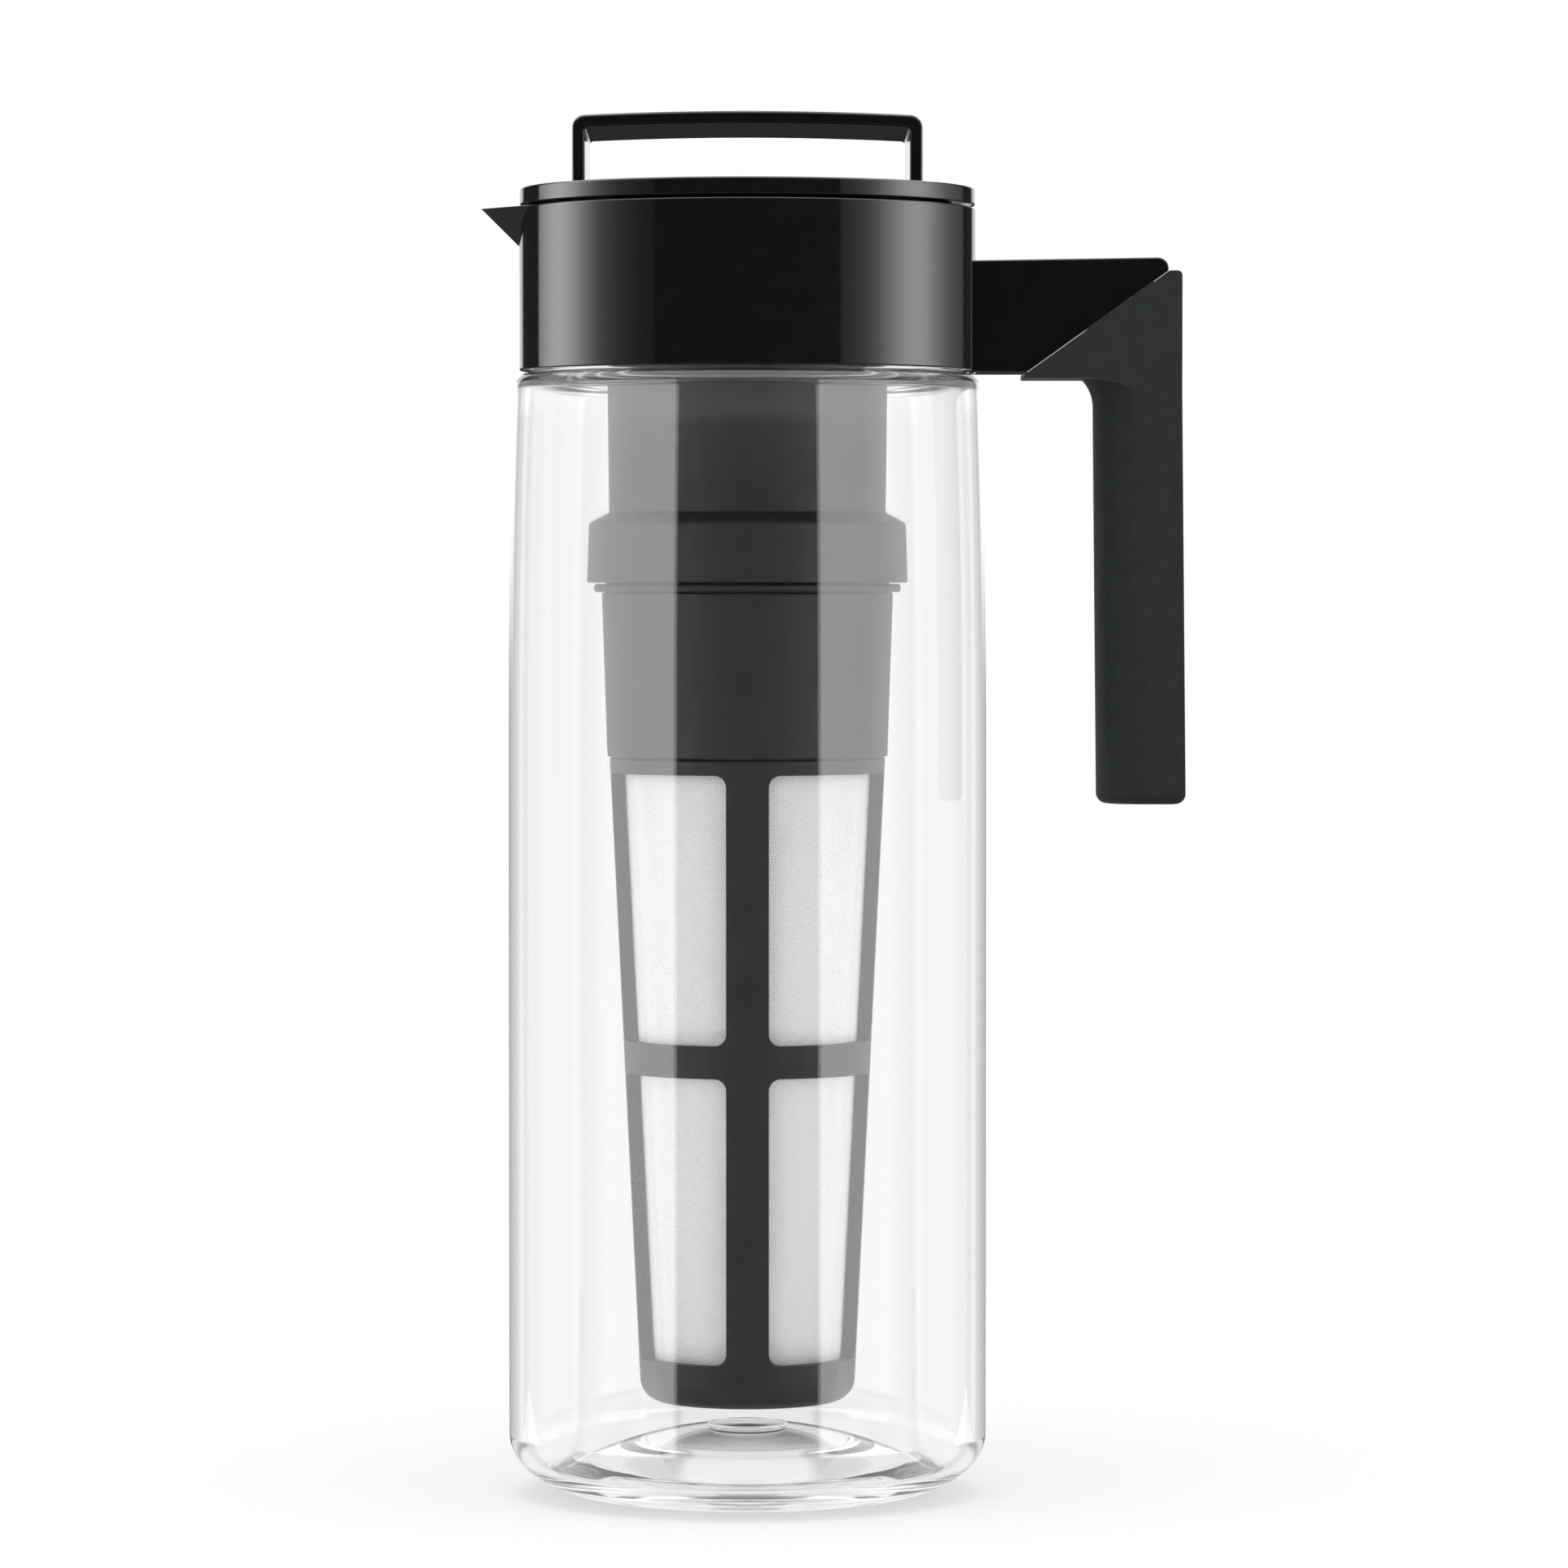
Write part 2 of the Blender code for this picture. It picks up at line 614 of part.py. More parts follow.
def make_lid_plug(material, parent):
    inner = PLUG_RADIUS - PLUG_WALL
    tenon_top = LID_BOTTOM + PLUG_TENON - CLEARANCE
    spigot = TUBE_BORE - CLEARANCE
    spigot_inner = spigot - SPIGOT_WALL
    spigot_bottom = ROOF_BOTTOM - SPIGOT_LENGTH
    groove_depth = SPIGOT_WALL / 2
    groove_bottom = spigot_bottom + groove_depth
    groove_top = groove_bottom + groove_depth + 2 * CLEARANCE
    profile = [
        (0, ROOF_TOP),
        (inner, ROOF_TOP),
        (inner, tenon_top),
        (PLUG_RADIUS, tenon_top),
        (PLUG_RADIUS, PLUG_BOTTOM),
        (inner, PLUG_BOTTOM),
        (inner, ROOF_BOTTOM),
        (spigot, ROOF_BOTTOM),
        (spigot, groove_top),
        (spigot - groove_depth, groove_top),
        (spigot - groove_depth, groove_bottom),
        (spigot, groove_bottom),
        (spigot, spigot_bottom),
        (spigot_inner, spigot_bottom),
        (spigot_inner, ROOF_BOTTOM),
        (0, ROOF_BOTTOM),
    ]
    plug = turned("lid_plug", profile, material, parent)
    lug_reach = BORE_RADIUS - PLUG_RADIUS - 1.5 * CLEARANCE
    lug = lug_profile(PLUG_RADIUS, lug_reach, LEDGE_BOTTOM - CLEARANCE - LUG_HEIGHT, LUG_HEIGHT)
    tube_lug = lug_profile(spigot, TUBE_LUG_REACH, TUBE_LUG_BOTTOM, TUBE_LUG_HEIGHT)
    for i in range(LUG_COUNT):
        middle = 360 / LUG_COUNT * i
        join(plug, sector(f"lid_lug_{i}", lug, middle, LUG_ANGLE))
        join(plug, sector(f"tube_lug_{i}", tube_lug, middle, TUBE_LUG_ANGLE))
    port = block(inner - OVERLAP, PLUG_RADIUS + OVERLAP, PORT_TOP - PORT_HEIGHT, PORT_TOP)
    cut(plug, sector("plug_port", port, 180, PORT_ANGLE))
    return plug


def make_lid_gasket(material, parent):
    inner = PLUG_RADIUS + CLEARANCE
    outer = BORE_RADIUS - CLEARANCE
    sleeve = turned("lid_gasket", block(inner, outer, SLEEVE_BOTTOM, SLEEVE_TOP), material, parent)
    window = block(inner - OVERLAP, outer + OVERLAP, PORT_TOP - PORT_HEIGHT, PORT_TOP)
    cut(sleeve, sector("gasket_window", window, 180, PORT_ANGLE))
    return sleeve


def make_lid_o_ring(material, parent):
    bottom = LEDGE_TOP + CLEARANCE
    profile = rounded_block(
        PLUG_RADIUS + CLEARANCE, BORE_RADIUS - CLEARANCE, bottom, bottom + O_RING_HEIGHT
    )
    return turned("lid_o_ring", profile, material, parent)


def strap_top(across, drop):
    crown = STRAP_CROWN * (across / STRAP_HALF_WIDTH) ** 2
    return LID_TOP + STRAP_RISE - crown - drop


def strap_side(inset, foot):
    """Half of the strap's line from foot to crown, set in from its outer face."""
    half = STRAP_HALF_WIDTH - inset
    corner = max(STRAP_ROUND - inset, STRAP_THICKNESS / 4)
    shoulder = strap_top(half, inset) - corner
    crown = [half * i / 4 for i in (3, 2, 1)]
    return [
        (half, foot),
        *arc((half - corner, shoulder), corner, 0, 90, 3),
        *[(x, strap_top(x, inset)) for x in crown],
    ]


def strap_line(inset, foot):
    side = strap_side(inset, foot)
    return [*side, (0, strap_top(0, inset)), *[(-x, z) for x, z in reversed(side)]]


def make_lid_handle(material, parent):
    foot = LID_TOP - STRAP_TENON + CLEARANCE
    outline = strap_line(0.0, foot) + strap_line(STRAP_THICKNESS, foot)[::-1]
    return extruded("lid_handle", outline, STRAP_HALF_DEPTH, material, parent)


def make_lid_cap(material, parent):
    groove_inner = PLUG_RADIUS - PLUG_WALL - CLEARANCE
    groove_outer = PLUG_RADIUS + CLEARANCE
    groove_top = LID_BOTTOM + PLUG_TENON
    edge = LID_THICKNESS / 8
    profile = [
        (0, LID_BOTTOM),
        (groove_inner, LID_BOTTOM),
        (groove_inner, groove_top),
        (groove_outer, groove_top),
        (groove_outer, LID_BOTTOM),
        (LID_RADIUS, LID_BOTTOM),
        (LID_RADIUS, LID_TOP - edge),
        (LID_RADIUS - edge, LID_TOP),
        (0, LID_TOP),
    ]
    cap = turned("lid_cap", profile, material, parent)
    for side in (-1, 1):
        inner = side * (STRAP_HALF_WIDTH - STRAP_THICKNESS - CLEARANCE)
        outer = side * (STRAP_HALF_WIDTH + CLEARANCE)
        slot = [
            (inner, LID_TOP - STRAP_TENON),
            (outer, LID_TOP - STRAP_TENON),
            (outer, LID_TOP + OVERLAP),
            (inner, LID_TOP + OVERLAP),
        ]
        half_depth = STRAP_HALF_DEPTH + CLEARANCE
        cut(cap, extruded(f"strap_slot_{side}", slot, half_depth, None, None))
    return cap


# Extension


def bayonet_cuts(piece, name, radii, leg, mouth, lug_angle, turn):
    """L shaped tracks: a leg that a lug turns along, and an entry at its far end that it leaves by."""
    inner, outer = radii
    leg_middle = sum(leg) / 2
    track = block(inner, outer, *leg)
    way_in = block(inner, outer - CLEARANCE / 3, min(leg_middle, mouth), max(leg_middle, mouth))
    for i in range(LUG_COUNT):
        middle = 360 / LUG_COUNT * i
        length = lug_angle + SLOT_PLAY_ANGLE + abs(turn)
        cut(piece, sector(f"{name}_leg_{i}", track, middle + turn / 2, length))
        cut(piece, sector(f"{name}_entry_{i}", way_in, middle + turn, lug_angle + SLOT_PLAY_ANGLE / 2))


def make_infuser_extension(material, parent):
    bell_inner = BELL_SHOULDER_RADIUS - BELL_WALL
    profile = [
        (TUBE_BORE, TUBE_TOP),
        (TUBE_BORE, BELL_ROOF),
        (bell_inner, BELL_ROOF),
        (bell_inner, BELL_BOTTOM),
        (BELL_RADIUS, BELL_BOTTOM),
        (BELL_SHOULDER_RADIUS, BELL_SHOULDER),
        (TUBE_RADIUS, BELL_TOP),
        (TUBE_RADIUS, TUBE_TOP),
    ]
    extension = turned("infuser_extension", profile, material, parent)
    low = TUBE_LUG_BOTTOM - CLEARANCE
    high = TUBE_LUG_BOTTOM + TUBE_LUG_HEIGHT + CLEARANCE
    through = (TUBE_BORE - OVERLAP, TUBE_RADIUS + OVERLAP)
    # The tube turns forwards to free itself, so its tracks run backwards from the lugs
    bayonet_cuts(
        extension, "tube_track", through, (low, high), TUBE_TOP + OVERLAP, TUBE_LUG_ANGLE, -TUBE_TURN
    )
    low = BELL_BOTTOM + BASKET_LUG_RISE - CLEARANCE
    high = low + BASKET_LUG_HEIGHT + 2 * CLEARANCE
    blind = (bell_inner - OVERLAP, bell_inner + BASKET_LUG_REACH)
    bayonet_cuts(
        extension, "bell_track", blind, (low, high), BELL_BOTTOM - OVERLAP, BASKET_LUG_ANGLE, BASKET_TURN
    )
    return extension


def make_extension_o_ring(material, parent):
    spigot = TUBE_BORE - CLEARANCE
    groove_depth = SPIGOT_WALL / 2
    bottom = ROOF_BOTTOM - SPIGOT_LENGTH + groove_depth + CLEARANCE
    profile = rounded_block(spigot - groove_depth + CLEARANCE, spigot, bottom, bottom + groove_depth)
    return turned("extension_o_ring", profile, material, parent)


# Infuser


def frame_radius(height):
    share = (height - CUP_BOTTOM) / FRAME_HEIGHT
    return FRAME_FOOT_RADIUS + (FRAME_TOP_RADIUS - FRAME_FOOT_RADIUS) * share


def make_infuser_ring(material, parent):
    seat = RING_TOP_RADIUS - BEAD_SEAT_DEPTH
    bell_inner = BELL_SHOULDER_RADIUS - BELL_WALL
    neck = bell_inner - CLEARANCE
    neck_bottom = BELL_BOTTOM
    profile = [
        (RING_BORE, RING_BOTTOM),
        (RING_FOOT_RADIUS, RING_BOTTOM),
        (RING_TOP_RADIUS, RING_TOP),
        (seat, RING_TOP),
        (seat, neck_bottom),
        (neck, neck_bottom),
        (neck, BELL_ROOF - CLEARANCE),
        (RING_BORE, BELL_ROOF - CLEARANCE),
    ]
    ring = turned("infuser_ring", profile, material, parent)
    lug_bottom = BELL_BOTTOM + BASKET_LUG_RISE
    reach = BASKET_LUG_REACH
    lug = lug_profile(neck, reach, lug_bottom, BASKET_LUG_HEIGHT)
    for i in range(LUG_COUNT):
        join(ring, sector(f"basket_lug_{i}", lug, 360 / LUG_COUNT * i, BASKET_LUG_ANGLE))
    return ring


def make_infuser_gasket(material, parent):
    inner = RING_TOP_RADIUS - BEAD_SEAT_DEPTH + CLEARANCE
    bottom = RING_TOP + CLEARANCE / 2
    profile = rounded_block(inner, BEAD_RADIUS, bottom, bottom + BEAD_HEIGHT - CLEARANCE / 2)
    return turned("infuser_gasket", profile, material, parent)


def window_cutter(name, bottom, top, quarter):
    """A block with rounded corners that opens one quarter of the frame between two ribs."""
    near = RIB_WIDTH / 2
    far = FRAME_TOP_RADIUS + OVERLAP
    bm = bmesh.new()
    bmesh.ops.create_cube(bm, size=1.0)
    for vert in bm.verts:
        vert.co.x = near if vert.co.x < 0 else far
        vert.co.y = near if vert.co.y < 0 else far
        vert.co.z = bottom if vert.co.z < 0 else top
    middle = (near + far) / 2
    inner_edges = []
    for edge in bm.edges:
        one, other = (vert.co for vert in edge.verts)
        beside_rib = max(one.x, other.x) < middle or max(one.y, other.y) < middle
        if one.z == other.z and beside_rib:
            inner_edges.append(edge)
    bmesh.ops.bevel(bm, geom=inner_edges, offset=WINDOW_ROUND, segments=3, profile=0.5, affect="EDGES")
    cutter = place(name, bm, None, None)
    cutter.rotation_euler.z = math.tau / RIB_COUNT * quarter
    return cutter


def make_infuser_frame(material, parent):
    tenon = RING_BORE - CLEARANCE
    tenon_inner = FRAME_TOP_RADIUS - FRAME_WALL
    foot_round = (frame_radius(CUP_BOTTOM + CUP_ROUND) - CUP_ROUND, CUP_BOTTOM + CUP_ROUND)
    floor = CUP_BOTTOM + FRAME_FLOOR
    floor_round = (foot_round[0], floor + CUP_ROUND - FRAME_WALL)
    profile = [
        (0, CUP_BOTTOM),
        *arc(foot_round, CUP_ROUND, -90, 0, 4),
        (FRAME_TOP_RADIUS, FRAME_TOP),
        (tenon, FRAME_TOP),
        (tenon, FRAME_TOP + FRAME_TENON),
        (tenon_inner, FRAME_TOP + FRAME_TENON),
        (tenon_inner, FRAME_TOP),
        *arc(floor_round, CUP_ROUND - FRAME_WALL, 0, -90, 3),
        (0, floor),
    ]
    frame = turned("infuser_frame", profile, material, parent)
    upper_top = FRAME_TOP - TOP_BAND
    upper_bottom = upper_top - UPPER_WINDOW
    lower_top = upper_bottom - MIDDLE_BAND
    lower_bottom = CUP_BOTTOM + CUP_HEIGHT
    for quarter in range(RIB_COUNT):
        cut(frame, window_cutter(f"upper_window_{quarter}", upper_bottom, upper_top, quarter))
        cut(frame, window_cutter(f"lower_window_{quarter}", lower_bottom, lower_top, quarter))
    return frame


def make_mesh_panels(material, parent):
    """One woven panel behind each column of windows, just inside the frame's inner face."""
    bottom = CUP_BOTTOM + CUP_HEIGHT - MESH_HEM
    top = FRAME_TOP - TOP_BAND + MESH_HEM
    width = 360 / RIB_COUNT - math.degrees(RIB_WIDTH / 2 / FRAME_TOP_RADIUS)
    low = frame_radius(bottom) - FRAME_WALL - CLEARANCE
    high = frame_radius(top) - FRAME_WALL - CLEARANCE
    profile = [
        (low - MESH_THICKNESS, bottom),
        (low, bottom),
        (high, top),
        (high - MESH_THICKNESS, top),
    ]
    names = ("back_right", "back_left", "front_left", "front_right")
    for i, name in enumerate(names):
        sector(f"mesh_{name}", profile, 45 + 90 * i, width, material, parent)


# Assembly


def carrier(name, parent, location):
    empty = bpy.data.objects.new(name, None)
    bpy.context.collection.objects.link(empty)
    empty.parent = parent
    empty.location = location
    return empty


def build():
    clear_scene()
    clear = finish("clear_plastic", (0.96, 0.97, 0.97), 0.03, transmission=1.0)
    gloss_black = finish("gloss_black", (0.007, 0.007, 0.008), 0.08)
    soft_grey = finish("soft_touch_grey", (0.020, 0.024, 0.023), 0.55)
    satin_grey = finish("satin_grey", (0.035, 0.035, 0.037), 0.35)
    weave = finish("pale_weave", (0.78, 0.78, 0.77), 0.60, alpha=0.6)
    silicone = finish("silicone", (0.55, 0.55, 0.54), 0.45)
    steel = finish("steel", (0.60, 0.60, 0.61), 0.30, metallic=1.0)

    jug = carrier("jug", None, (AXIS_X, 0, 0))
    lid_seal = carrier("lid_seal", jug, (0, 0, 0))
    lid = carrier("lid", lid_seal, (0, 0, 0))
    extension = carrier("extension", lid, (0, 0, 0))
    infuser = carrier("infuser", extension, (0, 0, 0))

    make_jug_body(clear, jug)
    make_neck_gasket(silicone, jug)
    make_collar(gloss_black, jug)
    make_handle_arm(gloss_black, jug)
    make_handle_grip(soft_grey, jug)
    for name, side in (("handle_screw_front", -1), ("handle_screw_back", 1)):
        screw_shape(name, side, 0.0, material=steel, parent=jug)

    make_lid_o_ring(silicone, lid_seal)
    make_lid_cap(gloss_black, lid)
    make_lid_handle(gloss_black, lid)
    make_lid_plug(satin_grey, lid)
    make_lid_gasket(silicone, lid)
    make_extension_o_ring(silicone, lid)

    make_infuser_extension(satin_grey, extension)

    make_infuser_ring(satin_grey, infuser)
    make_infuser_gasket(satin_grey, infuser)
    make_infuser_frame(satin_grey, infuser)
    make_mesh_panels(weave, infuser)


build()
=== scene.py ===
"""The looks of an iced tea pitcher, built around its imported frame.

Lengths are metres and angles degrees. +X is the handle side, -X the spout, the camera looks along +Y and the
pitcher stands on Z = 0. Round pieces are turned about the jug's own axis, which stands at X = AXIS_X.
"""

import math
from functools import partial, reduce

import bmesh
import bpy
from mathutils import Matrix, Vector


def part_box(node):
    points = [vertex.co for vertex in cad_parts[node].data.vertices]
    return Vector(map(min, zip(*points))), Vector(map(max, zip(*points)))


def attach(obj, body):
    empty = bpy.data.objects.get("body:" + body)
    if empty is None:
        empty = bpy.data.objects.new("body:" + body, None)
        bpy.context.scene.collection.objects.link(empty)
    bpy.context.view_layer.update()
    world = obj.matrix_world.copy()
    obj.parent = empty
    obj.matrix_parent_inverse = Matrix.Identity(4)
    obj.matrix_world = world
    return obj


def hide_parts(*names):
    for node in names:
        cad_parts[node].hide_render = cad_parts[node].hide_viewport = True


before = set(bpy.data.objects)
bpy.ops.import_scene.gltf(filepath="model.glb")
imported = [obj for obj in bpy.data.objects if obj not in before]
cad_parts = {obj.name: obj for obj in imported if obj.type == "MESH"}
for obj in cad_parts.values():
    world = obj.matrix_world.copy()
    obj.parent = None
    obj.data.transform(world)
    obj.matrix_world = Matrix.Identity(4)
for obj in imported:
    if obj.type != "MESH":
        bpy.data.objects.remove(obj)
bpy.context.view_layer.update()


# Places read from the frame


def round_node(node):
    """Radius, bottom and top of a piece that is round about the jug's axis."""
    low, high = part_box(node)
    return (high.y - low.y) / 2, low.z, high.z


LID_LOW, LID_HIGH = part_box("lid_cap")
AXIS_X = (LID_LOW.x + LID_HIGH.x) / 2
JUG_RADIUS, _, NECK_TOP = round_node("jug_body")
COLLAR_RADIUS, COLLAR_BOTTOM, COLLAR_TOP = round_node("collar")
LID_RADIUS, LID_BOTTOM, LID_TOP = round_node("lid_cap")
BELL_RADIUS, BELL_BOTTOM, TUBE_TOP = round_node("infuser_extension")
FRAME_TOP_RADIUS, CUP_BOTTOM, TENON_TOP = round_node("infuser_frame")
NECK_RADIUS, _, NECK_SEAL_TOP = round_node("neck_gasket")
SLEEVE_RADIUS, SLEEVE_BOTTOM, SLEEVE_TOP = round_node("lid_gasket")
LID_SEAL_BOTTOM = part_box("lid_o_ring")[0].z
RING_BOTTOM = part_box("infuser_ring")[0].z
RING_NECK_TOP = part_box("infuser_ring")[1].z
PLUG_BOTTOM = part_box("lid_plug")[0].z
SPOUT_REACH = AXIS_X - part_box("collar")[0].x
STRAP_LOW, STRAP_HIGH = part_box("lid_handle")
STRAP_HALF_WIDTH = (STRAP_HIGH.x - STRAP_LOW.x) / 2
GRIP_LOW, GRIP_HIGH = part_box("handle_grip")
HANDLE_REACH = GRIP_HIGH.x - AXIS_X
ARM_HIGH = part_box("handle_arm")[1]
ARM_END = ARM_HIGH.x - AXIS_X
MESH_NODES = ("mesh_back_right", "mesh_back_left", "mesh_front_left", "mesh_front_right")

# Fits and fineness
CLEARANCE = 0.0003
HAIRLINE = 0.00008
OVERLAP = 0.0006
WELD = 0.0000001
SHARP_ANGLE = 40.0
ARC_STEP = 7.5
LATHE_STEPS = 180
BEVEL_STEPS = 4
WINDOW_STEPS = 8
TAPER_STEPS = 24
HEEL_STEPS = 18
FLOOR_STEPS = 24
FOOT_STEPS = 12
BUTTON_STEPS = 8
STRAP_STEPS = 12
GRIP_END_STEPS = 6
GRIP_NOSE_STEPS = 36
GRIP_THROAT_STEPS = 12
GUSSET_STEPS = 18
MESH_ROWS = 24
MESH_COLUMNS = 30

# Jug
JUG_WALL = 0.0030
FLOOR_THICKNESS = 0.0027
HEEL_ROUND = 0.0200
HEEL_INNER_ROUND = 0.0083
HEEL_RISE = 0.0135
FOOT_WIDTH = 0.0095
FOOT_ROUND = 0.0015
FOOT_RISE = 0.0027
KICK_HEIGHT = 0.0101
BUTTON_RADIUS = 0.0088
BUTTON_HEIGHT = 0.0004
BUTTON_DISH = 0.0003
BUTTON_ROUND = 0.0002
MOULD_ROUGHNESS = 0.06
MOULD_BLEND = 0.0020
SHOULDER_DEPTH = 0.0042
SHOULDER_BLEND = 0.0008
TAPER_LENGTH = 0.0900
SHOULDER_TAPER = 0.00155
TAPER_POWER = 2.3
SHOULDER_ROUND = 0.0030
SHOULDER_INNER_ROUND = 0.0008
NECK_INNER_ROUND = 0.0014
NECK_WALL = 0.0026
NECK_HEIGHT = 0.0075
MOULD_ROUND = 0.0006

# Collar and spout
BORE_RADIUS = SLEEVE_RADIUS + CLEARANCE
LEDGE_HEIGHT = 0.0030
LEDGE_DEPTH = 0.0030
LUG_COUNT = 3
LUG_PITCH = 360 / LUG_COUNT
LUG_ANGLE = 20.0
LUG_SLOT_ANGLE = 26.0
LUG_HEIGHT = 0.0037
SPOUT_HALF_WIDTH = 0.0163
SPOUT_TIP_ROUND = 0.0020
SPOUT_TIP_TURN = 55.0
SPOUT_WALL = 0.0022
EDGE_ROUND = 0.0004

# Lid
PLUG_RADIUS = 0.0412
PLUG_WALL = 0.0025
PLUG_TENON = 0.0010
ROOF_THICKNESS = 0.0022
PORT_ANGLE = 34.0
PORT_HEIGHT = 0.0080
PORT_TOP_MARGIN = 0.0003
LID_EDGE_ROUND = 0.0005
LID_SEAL_ROUND = 0.0011
STRAP_THICKNESS = 0.0027
STRAP_CROWN = 0.0010
STRAP_ROUND = 0.0028
STRAP_INNER_ROUND = 0.0009
STRAP_EDGE = 0.0006

# Handle
ARM_HEIGHT = 0.0241
ARM_DROP = 0.0005
ARM_HALF_DEPTH = ARM_HIGH.y
ARM_END_ROUND = 0.0024
ARM_EDGE = 0.0006
SEAM_START = 0.0605
SEAM_END_HEIGHT = 0.0219
GRIP_WIDTH = 0.0190
GRIP_HALF_DEPTH = GRIP_HIGH.y
GRIP_SIDE_FLAT = 0.0060
GRIP_LEAN = 0.0009
GRIP_BACK_ROUND = 0.0018
GRIP_END_ROUND = 0.0023
GRIP_THROAT_ROUND = 0.0066
GRIP_THROAT_TURN = 60.0
GRIP_EDGE = 0.0003
GUSSET_LIP = 0.0013
GUSSET_ROUND = 0.0011
SPINE_HALF_DEPTH = 0.0050
SPINE_WIDTH = 0.0095
SPINE_SETBACK = 0.0030
SPINE_END_GAP = 0.0140

# Extension tube and bell
TUBE_TOP_RADIUS = 0.0307
TUBE_FOOT_RADIUS = 0.0301
TUBE_BORE = 0.0283
SPIGOT_WALL = 0.0030
SPIGOT_LENGTH = 0.0268
TUBE_LUG_ANGLE = 9.0
TUBE_LUG_HEIGHT = 0.0032
TUBE_LUG_REACH = 0.0018
TUBE_LUG_DEPTH = 0.0077
TUBE_TURN = 35.0
BELL_SHOULDER_RADIUS = 0.0345
BELL_WALL = 0.0023
BELL_SKIRT = 0.0129
BELL_SHOULDER_HEIGHT = 0.0023
BELL_NECK = 0.0104

# Basket
FRAME_HEIGHT = 0.1402
FRAME_FOOT_RADIUS = 0.0232
FRAME_WALL = 0.0027
FRAME_FLOOR = 0.0022
CUP_HEIGHT = 0.0096
CUP_ROUND = 0.0050
TOP_BAND = 0.0032
UPPER_WINDOW = 0.0582
MIDDLE_BAND = 0.0070
RIB_COUNT = 4
RIB_WIDTH = 0.0091
WINDOW_ROUND = 0.0025
MESH_THICKNESS = 0.0004
MESH_HEM = 0.0022
THREAD_PITCH = 0.00046
TWILL_PITCH = 0.00042
TWILL_TURN = 40.0
RING_HEIGHT = 0.0356
RING_FOOT_RADIUS = 0.0305
RING_TOP_RADIUS = 0.0317
RING_BORE = 0.0292
BEAD_SEAT_DEPTH = 0.0008
BEAD_ROUND = 0.0007
BASKET_LUG_ANGLE = 12.0
BASKET_LUG_REACH = 0.0013
BASKET_LUG_HEIGHT = 0.0030
BASKET_LUG_RISE = 0.0025
BASKET_TURN = 40.0
SLOT_PLAY_ANGLE = 4.6

# Levels
JUG_HEIGHT = NECK_TOP - NECK_HEIGHT
NECK_INNER_RADIUS = NECK_RADIUS - NECK_WALL
FLOOR_EDGE = JUG_RADIUS - JUG_WALL - HEEL_INNER_ROUND
FLOOR_LEVEL = FOOT_RISE + FLOOR_THICKNESS
BUTTON_TOP = FLOOR_LEVEL + KICK_HEIGHT * (1 - (BUTTON_RADIUS / FLOOR_EDGE) ** 2) + BUTTON_HEIGHT
SOCKET_TOP = NECK_SEAL_TOP + CLEARANCE
LEDGE_TOP = LID_SEAL_BOTTOM - CLEARANCE
LEDGE_BOTTOM = LEDGE_TOP - LEDGE_HEIGHT
ROOF_TOP = LID_BOTTOM - CLEARANCE
ROOF_BOTTOM = ROOF_TOP - ROOF_THICKNESS
PORT_TOP = ROOF_BOTTOM - PORT_TOP_MARGIN
FRAME_TOP = CUP_BOTTOM + FRAME_HEIGHT
RING_TOP = RING_BOTTOM + RING_HEIGHT
BELL_SHOULDER = BELL_BOTTOM + BELL_SKIRT
BELL_TOP = BELL_SHOULDER + BELL_SHOULDER_HEIGHT
BELL_ROOF = BELL_BOTTOM + BELL_NECK + CLEARANCE
TUBE_LUG_BOTTOM = TUBE_TOP - TUBE_LUG_DEPTH
ARM_BOTTOM = COLLAR_BOTTOM - ARM_DROP
GRIP_TOP = ARM_BOTTOM - GUSSET_LIP
GRIP_BOTTOM = GRIP_LOW.z
SEAM_SLOPE = SEAM_END_HEIGHT / (ARM_END - SEAM_START)


# Shaping tools


def spaced(start, end, steps):
    """Evenly spaced values, both ends included."""
    return [start + (end - start) * i / steps for i in range(steps + 1)]


def turns(start, end, steps):
    """Evenly spaced angles in radians, given in degrees."""
    return [math.radians(angle) for angle in spaced(start, end, steps)]


def arc(centre, radius, start, end):
    """Points of a circular arc as (across, up), angles from +across towards +up."""
    angles = turns(start, end, max(2, math.ceil(abs(end - start) / ARC_STEP)))
    return [(centre[0] + radius * math.cos(a), centre[1] + radius * math.sin(a)) for a in angles]


def filleted(corners):
    """A closed outline of (across, up) corners, where a third number rounds the corner to that radius."""
    points = []
    for before, corner, after in zip(corners[-1:] + corners[:-1], corners, corners[1:] + corners[:1]):
        here = Vector(corner[:2])
        if len(corner) == 2:
            points.append(tuple(here))
            continue
        back = (Vector(before[:2]) - here).normalized()
        ahead = (Vector(after[:2]) - here).normalized()
        half = back.angle(ahead) / 2
        centre = here + (back + ahead).normalized() * corner[2] / math.sin(half)
        first = here + back * corner[2] / math.tan(half) - centre
        last = here + ahead * corner[2] / math.tan(half) - centre
        turn = math.atan2(first.x * last.y - first.y * last.x, first.dot(last))
        steps = max(2, math.ceil(math.degrees(abs(turn)) / ARC_STEP))
        for i in range(steps + 1):
            points.append(tuple(centre + Matrix.Rotation(turn * i / steps, 2) @ first))
    return points


def new_piece(name, bm):
    """An object from a bmesh modelled about the jug's axis, with its place in its mesh."""
    bmesh.ops.remove_doubles(bm, verts=bm.verts, dist=WELD)
    bmesh.ops.recalc_face_normals(bm, faces=bm.faces)
    bmesh.ops.translate(bm, verts=bm.verts, vec=(AXIS_X, 0, 0))
    mesh = bpy.data.meshes.new(name)
    bm.to_mesh(mesh)
    bm.free()
    piece = bpy.data.objects.new(name, mesh)
    bpy.context.scene.collection.objects.link(piece)
    return piece


